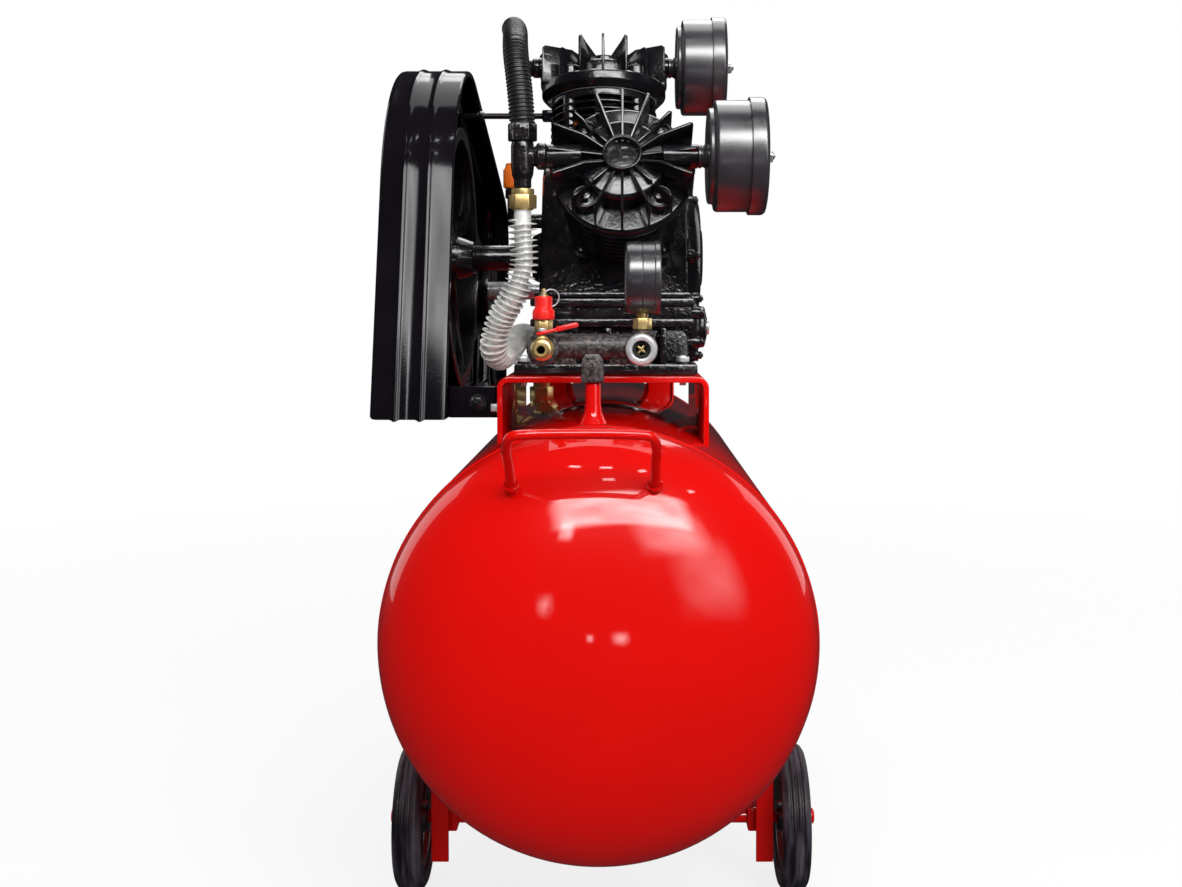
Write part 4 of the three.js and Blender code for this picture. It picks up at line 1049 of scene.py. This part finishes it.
def make_gauge():
    """The pressure gauge, which faces right: case, card, marks, needle and lens on a brass hexagon."""
    half, start, sweep_angle, last = 18.5, 135, 270, 40
    at = (GAUGE_X, LINE_Y, GAUGE_Z)
    casing = [
        (0, -half), (32, -half), (36.4, 2.2 - half), (37.2, 6 - half), (37.2, -0.5), (36.7, 0.0), (37.2, 0.5),
        (37.2, 12.5), (38, 13), (38, half - 0.8), (37, half), (34.4, half), (34.4, half - 5), (0, half - 6),
    ]
    case = revolve(casing, 112, "X", 0.8).move(*at)
    piece("gauge_case", case, "black_plastic", replaces=["pressure_gauge"])
    stem = hexagon(17.6, 676.6, 688.5, soft=1) + disc(6, 687, 696, 24, soft=0.8)
    piece("gauge_hexagon", stem.move(GAUGE_X, LINE_Y, 0), "brass")
    dial = disc(34.2, half - 6.1, half - 5.85, 72, "X", 0.05)
    piece("gauge_dial", dial.move(*at), "black_plastic", finish_name="white_dial")
    marks = []
    for i in range(last + 1):
        wide, low = (0.5, 26) if i % 5 == 0 else (0.3, 28.4)
        mark = block((half - 5.9, -wide, low), (half - 5.7, wide, 31.5), 0)
        marks.append(mark.turn("X", start - sweep_angle * i / last))
    piece("gauge_marks", joined(marks).move(*at), "black_plastic", finish_name="dark")
    pointer = [(-1.1, -9), (1.1, -9), (0.9, 4), (0.25, 26), (-0.25, 26), (-0.9, 4)]
    pointer = prism(pointer, half - 5.3, half - 4.4, "X", 0).turn("X", start)
    needle = disc(3.6, half - 5.6, half - 3.4, 24, "X", 0.4) + pointer
    piece("gauge_pointer", needle.move(*at), "red_plastic", "needle", ["gauge_needle"])
    lens = piece("gauge_lens", disc(34.3, half - 2.6, half - 1.6, 72, "X", 0.2).move(*at), "black_plastic")
    lens.data.materials.clear()
    lens.data.materials.append(clear_lens())


def clear_lens():
    settings = {"Base Color": (0.95, 0.97, 0.97, 1), "Transmission Weight": 1.0, "IOR": 1.1}
    mat, tree, bsdf = shader("clear_lens", {**settings, "Roughness": 0.05})
    smear = noise_of(tree, node(tree, "TexCoord").outputs["Object"], 40.0)
    gloss = ramp_of(tree, smear, (0.4, grey(0.03)), (0.8, grey(0.12)))
    tree.links.new(gloss, bsdf.inputs["Roughness"])
    return mat


# ---------------------------------------------------------------- motor and drive
def make_motor():
    """The electric motor: finned casing on feet, cowl, rotor with its fan and pulley, and terminal box."""
    at = (0, MOTOR_Y, MOTOR_Z)
    shell = [
        (17, -104), (40, -104), (60, -101), (84, -93), (89, -88), (89, -80), (85, -78), (85, 80), (89, 82),
        (89, 92), (20, 92), (20, 82), (70, 78), (70, -84), (17, -92),
    ]
    clear_of_feet = [9 * i for i in range(40) if not 150 < 9 * i < 210]
    ribs = [block((-78, -1.2, 83), (80, 1.2, 96.6), 0.8).turn("X", angle) for angle in clear_of_feet]
    foot_z = SADDLE_TOP + 0.3 - MOTOR_Z
    feet = []
    for side in (-1, 1):
        feet.append(block((-84, side * 80 - 22, foot_z), (76, side * 80 + 22, foot_z + 10), 2.5))
        for x in (-80, 58):
            feet.append(block((x, side * 60 - 7, foot_z), (x + 14, side * 60 + 7, -52), 2.5))
    body = revolve(shell, 96, "X", 1.6, True) + joined(ribs) + joined(feet)
    piece("motor_casing", body.move(*at), "black_cast", replaces=["motor_housing"])
    bolts = ring_of(bolt(8, 4, 1).turn("Y", -90).move(-97.5, 0, 0), 72, range(45, 405, 90))
    piece("motor_end_bolts", bolts.move(*at), "bright_steel")
    cover = [(20, 134), (70, 134.2), (84, 132), (90, 124), (90, 92.4)]
    cover += [(88.4, 92.4), (88.4, 123), (83, 130), (20, 132)]
    bars = fan_of(block((130.6, 18, -1.1), (133.8, 72, 1.1), 0.6), 24)
    centre = revolve([(0, 131), (22, 131), (22, 134), (0, 134)], 48, "X", 0.8)
    cowl = revolve(cover, 96, "X", 1.2, True) + bars + centre
    piece("fan_cowl", cowl.move(*at), "black_sheet", replaces=["fan_cover"])
    shaft = disc(13.9, -236, 112, 40, "X", 1.2) + disc(63, -70, 62, 64, "X", 2)
    vanes = fan_of(block((108, 16, -1.4), (120, 58, 1.4), 0.8), 8)
    rotor = shaft + disc(20, 108, 121, 40, "X", 1.5) + vanes
    piece("rotor_and_fan", rotor.move(*at), "bright_steel", "motor_rotor", ["motor_shaft"])
    box = block((-42, -38, 98.2), (42, 38, 133), 4) + block((-45.6, -41.6, 132), (45.6, 41.6, 139.8), 3)
    gland = revolve([(0, 40), (9, 40), (9, 50), (7, 54), (0, 54)], 32, "X", 1).move(0, 0, 115)
    piece("terminal_housing", (box + gland).move(*at), "black_plastic", replaces=["terminal_box"])
    screws = at_places(disc(3.6, 139, 141.2, 20, soft=0.8), [(x, y) for x in (-38, 38) for y in (-34, 34)])
    piece("terminal_screws", screws.move(0, MOTOR_Y, MOTOR_Z - 1.4), "bright_steel")
    bore, hub, outer = 14.2, 30, 55
    pulley = [
        (bore, -222), (hub, -222), (hub, -216), (44, -214), (48, -222), (outer, -222), (outer, -212),
        (45.6, -210.5), (45.6, -195.5), (outer, -194), (outer, -184), (hub, -184), (hub, -186), (bore, -186),
    ]
    pulley = revolve(pulley, 72, "X", 1.0, True).move(*at)
    piece("motor_pulley_turned", pulley, "black_cast", "motor_rotor", ["motor_pulley"])


def belt_loop(big, small):
    dy, dz = MOTOR_Y - CRANK_Y, MOTOR_Z - CRANK_Z
    heading = math.degrees(math.atan2(dz, dy))
    spread = math.degrees(math.acos((big - small) / math.hypot(dy, dz)))
    first = arc(CRANK_Y, CRANK_Z, big, heading + spread, heading + 360 - spread, 60)
    return first + arc(MOTOR_Y, MOTOR_Z, small, heading - spread, heading + spread, 24)


def make_belt():
    levels = [(153.4, 46.6, 4.6), (157, 50.2, 6.4), (162.4, 55.6, 7.0)]
    loops = []
    for sign, chosen in ((1, levels), (-1, levels[::-1])):
        for big, small, half in chosen:
            loops.append([(BELT_X + sign * half, y, z) for y, z in belt_loop(big, small)])
    verts = [v for loop in loops for v in loop]
    belt = Form(verts, skin(len(loops), len(loops[0]), closed=True))
    piece("v_belt", belt, "foot_rubber", replaces=["drive_belt"], smooth=40)


GUARD_TILT, GUARD_IN, GUARD_OUT = 15.2, -166.0, -249.4


def guard_outline(inset, steps=24):
    """The guard's side outline as (y, z) pairs, drawn in a frame that slopes down to the back."""
    t = math.radians(GUARD_TILT)
    front, top, back, corner = -190 + inset, 240 - inset, 540 - inset, 90 - inset
    level = -185 + inset

    def floor_at(u):
        return (level + u * math.sin(t)) / math.cos(t)

    points = [(front, floor_at(front)), (front, 40)]
    points += arc(10, 40, 200 - inset, 180, 90, steps)[1:]
    points += arc(back - corner, top - corner, corner, 90, 0, 12)
    points.append((back, floor_at(back)))
    return [
        (CRANK_Y + u * math.cos(t) + v * math.sin(t), CRANK_Z - u * math.sin(t) + v * math.cos(t))
        for u, v in points
    ]


def guard_band():
    """The guard's rim and outer face as one pressed sheet: ribs on the band, rounded edges, rolled lip."""
    margin, rib_width, rib_centres = 3.0, 3.4, (-221.5, -194.0)
    section = [(GUARD_IN, 7.0), (GUARD_IN, 1.0), (GUARD_IN - 1.6, 0.0)]
    half_rib = [(rib_width + 2.2, 0.0), (rib_width, 0.7), (rib_width * 0.55, 1.7)]
    rib = half_rib + [(0, 2.1)] + [(-away, rise) for away, rise in half_rib[::-1]]
    for centre in rib_centres[::-1]:
        section += [(centre + away, -rise) for away, rise in rib]
    edge = [(7, 0.0), (3, 0.9), (0.9, 3.0), (0, 7.0), (0, 14.0)]
    section += [(GUARD_OUT + away, depth) for away, depth in edge]
    rows = [[(x, y, z) for y, z in guard_outline(margin + depth)] for x, depth in section]
    n = len(rows[0])
    outer_face = tuple((len(rows) - 1) * n + i for i in range(n))
    return Form([v for row in rows for v in row], skin(len(rows), n) + [outer_face])


def make_guard():
    shell = piece("guard_pressing", guard_band(), "black_sheet", replaces=["belt_guard"], smooth=28)
    sheet = shell.modifiers.new("sheet", "SOLIDIFY")
    sheet.thickness = 1.6 * MM
    sheet.offset = -1
    bracket = block((GUARD_IN - 2, -296, 577), (-114, -292.4, 612), 1.2)
    bracket += block((-118, -296, 577), (-114, -270, 612), 1.2)
    bracket += block((GUARD_IN - 40, -300, 579), (GUARD_IN, -262, 582), 1.0)
    piece("guard_bracket", bracket, "black_sheet")
    stay_y, stay_z = -62, 941
    stay = disc(3.8, -246, -70, 24, "X", 1).move(0, stay_y, stay_z)
    piece("guard_stay", stay + block((-78, -70, 934), (-62, -54, 948), 2), "black_sheet")
    nuts = hexagon(11, -158, -152, "X", 0.7).move(0, stay_y, stay_z)
    nuts += bolt(11, 5).turn("X", 90).move(-136, -296, 594)
    piece("guard_bolts", nuts, "bright_steel", finish_name="black_cast")


# ---------------------------------------------------------------- camera, light and floor
def make_camera():
    data = bpy.data.cameras.new("camera")
    data.sensor_width = 36
    data.sensor_fit = "HORIZONTAL"
    data.lens = 41.31
    data.shift_x, data.shift_y = -0.0288, -0.0792
    data.clip_end = 60
    camera = bpy.data.objects.new("camera", data)
    camera.location = (0.027, -1.794 + ORIGIN_Y * MM, 0.7044)
    camera.rotation_euler = (math.radians(88), 0, 0)
    bpy.context.collection.objects.link(camera)
    bpy.context.scene.camera = camera


def area_light(name, at, target, size, power):
    data = bpy.data.lights.new(name, "AREA")
    data.shape = "RECTANGLE"
    data.size, data.size_y = size
    data.energy = power
    lamp = bpy.data.objects.new(name, data)
    lamp.location = at
    lamp.rotation_euler = (Vector(target) - Vector(at)).to_track_quat("-Z", "Y").to_euler()
    bpy.context.collection.objects.link(lamp)
    return lamp


# name, degrees round from the front, degrees up, size in metres, radiance, softness of the edge
SOFTBOXES = [
    ("window", 11, 43, (3.4, 1.2), 11.5, 0.2),
    ("window_corner", -13, 31, (0.42, 0.7), 10.0, 0.4),
    ("window_side", 30, 31, (2.3, 1.5), 6.0, 0.4),
    ("wall_side", 40, 14, (2.4, 2.3), 2.3, 0.42),
    ("lamp_low", -17, 4, (0.5, 0.7), 7.0, 0.6),
    ("lamp_floor", 6, -6, (0.44, 0.34), 8.0, 0.5),
    ("lamp_floor_left", -3, -6, (0.16, 0.18), 7.0, 0.4),
    ("lamp_1", -28, 70, (0.26, 0.1), 14.0, 0.1),
    ("lamp_2", 6, 70, (0.26, 0.1), 14.0, 0.1),
    ("lamp_3", 6, 60, (0.26, 0.1), 9.0, 0.1),
    ("lamp_4", 40, 66, (0.2, 0.1), 14.0, 0.1),
    ("lamp_5", 42, 59, (0.2, 0.1), 10.0, 0.1),
    ("lamp_6", 60, 50, (0.2, 0.1), 10.0, 0.1),
]


def soften_edge(lamp_data, softness):
    """Fades a softbox towards its edge, along a slightly uneven line."""
    lamp_data.use_nodes = True
    tree = lamp_data.node_tree
    place = node(tree, "NewGeometry").outputs["Parametric"]
    ripple = node(tree, "TexNoise", {"Vector": place, "Scale": 3.5, "Detail": 2.0}).outputs["Fac"]
    split = node(tree, "SeparateXYZ", {"Vector": place})
    strength = math_of(tree, "MULTIPLY", ripple, 2.0)
    for axis in ("X", "Y"):
        centred = math_of(tree, "SUBTRACT", split.outputs[axis], 0.5)
        distance = math_of(tree, "ABSOLUTE", centred)
        uneven = math_of(tree, "MULTIPLY_ADD", ripple, softness * 0.5, distance)
        ends = {"From Min": 0.5 - softness * 0.7, "From Max": 0.5, "To Min": 1.0, "To Max": 0.0}
        fade = node(tree, "MapRange", {"Value": uneven, **ends}, interpolation_type="SMOOTHSTEP")
        strength = math_of(tree, "MULTIPLY", strength, fade.outputs["Result"])
    tree.links.new(strength, tree.nodes["Emission"].inputs["Strength"])


def aimed_light(name, around, up, size, radiance, softness, away=3.0):
    """A softbox placed by its direction from the front of the tank."""
    a, e = math.radians(around), math.radians(up)
    centre = Vector((0, -0.44, 0.45))
    at = centre + away * Vector((math.sin(a) * math.cos(e), -math.cos(a) * math.cos(e), math.sin(e)))
    lamp = area_light(name, at, centre, size, radiance * math.pi * size[0] * size[1])
    soften_edge(lamp.data, softness)


def make_studio():
    """A room that is white to the camera, pale to diffuse light and dark to reflections, with its lamps."""
    scene = bpy.context.scene
    scene.view_settings.view_transform = "Standard"
    scene.world = bpy.data.worlds.new("studio")
    scene.world.use_nodes = True
    tree = scene.world.node_tree
    ray = node(tree, "LightPath").outputs
    room = tree.nodes["Background"]
    room.inputs["Color"].default_value = (0.74, 0.75, 0.78, 1)
    room.inputs["Strength"].default_value = 0.56
    dim = node(tree, "Background", {"Color": (0.026, 0.024, 0.027, 1)}).outputs["Background"]
    white = node(tree, "Background", {"Color": grey(1.0)}).outputs["Background"]
    lit = node(tree, "MixShader", {"Fac": ray["Is Glossy Ray"], 1: room.outputs["Background"], 2: dim})
    seen = node(tree, "MixShader", {"Fac": ray["Is Camera Ray"], 1: lit.outputs["Shader"], 2: white})
    tree.links.new(seen.outputs["Shader"], tree.nodes["World Output"].inputs["Surface"])
    for softbox in SOFTBOXES:
        aimed_light(*softbox)
    area_light("top", (0.1, 0.9, 3.2), (0, 0, 0.5), (2.0, 2.0), 24)
    area_light("left", (-3.0, 1.6, 1.6), (0, 0, 0.7), (1.8, 2.6), 18)
    area_light("right", (3.0, 1.8, 1.6), (0, 0, 0.7), (1.6, 2.4), 16)
    area_light("back_high", (0.3, 2.6, 3.4), (0, 0.2, 0.6), (2.2, 1.4), 30)
    make_floor()


def make_floor():
    """A pale round floor that melts into the white studio at its edge."""
    reach = 6.0
    mesh = bpy.data.meshes.new("floor")
    ring = [(x, y, 0) for x, y in (around(reach, a) for a in range(0, 360, 6))]
    mesh.from_pydata(ring, [], [tuple(range(len(ring)))])
    floor = bpy.data.objects.new("floor", mesh)
    floor.location.z = -0.0005
    floor.visible_glossy = False
    bpy.context.collection.objects.link(floor)
    pale, shade = (0.80, 0.80, 0.80), (0.77, 0.77, 0.77)
    mat = finish("pale_floor", pale, shade, (0.55, 0.7), mottle=1.5, grain=60, grain_depth=0.0001)
    tree = mat.node_tree
    coord = node(tree, "TexCoord").outputs["Object"]
    away = node(tree, "VectorMath", {0: coord}, operation="LENGTH").outputs["Value"]
    fade = node(tree, "MapRange", {"Value": away, "From Min": 0.7, "From Max": 3.2, "To Min": 0.82})
    solid = tree.nodes["Principled BSDF"].outputs["BSDF"]
    clear = node(tree, "BsdfTransparent").outputs["BSDF"]
    blend = node(tree, "MixShader", {"Fac": fade.outputs["Result"], 1: solid, 2: clear})
    tree.links.new(blend.outputs["Shader"], tree.nodes["Material Output"].inputs["Surface"])
    mesh.materials.append(mat)


def main():
    make_camera()
    make_studio()
    make_tank()
    make_handle()
    make_drain()
    make_running_gear()
    make_bases()
    make_crankcase()
    make_crank()
    make_flywheel()
    make_cylinder("front", FRONT_TILT, FRONT_X)
    make_cylinder("rear", REAR_TILT, REAR_X)
    make_filter("front", FRONT_TILT, FRONT_X, 116.0)
    make_filter("rear", REAR_TILT, REAR_X, 92.0)
    make_transfer_line()
    make_discharge_line()
    make_manifold()
    make_safety_valve()
    make_ball_valve()
    make_outlet()
    make_gauge()
    make_motor()
    make_belt()
    make_guard()


main()
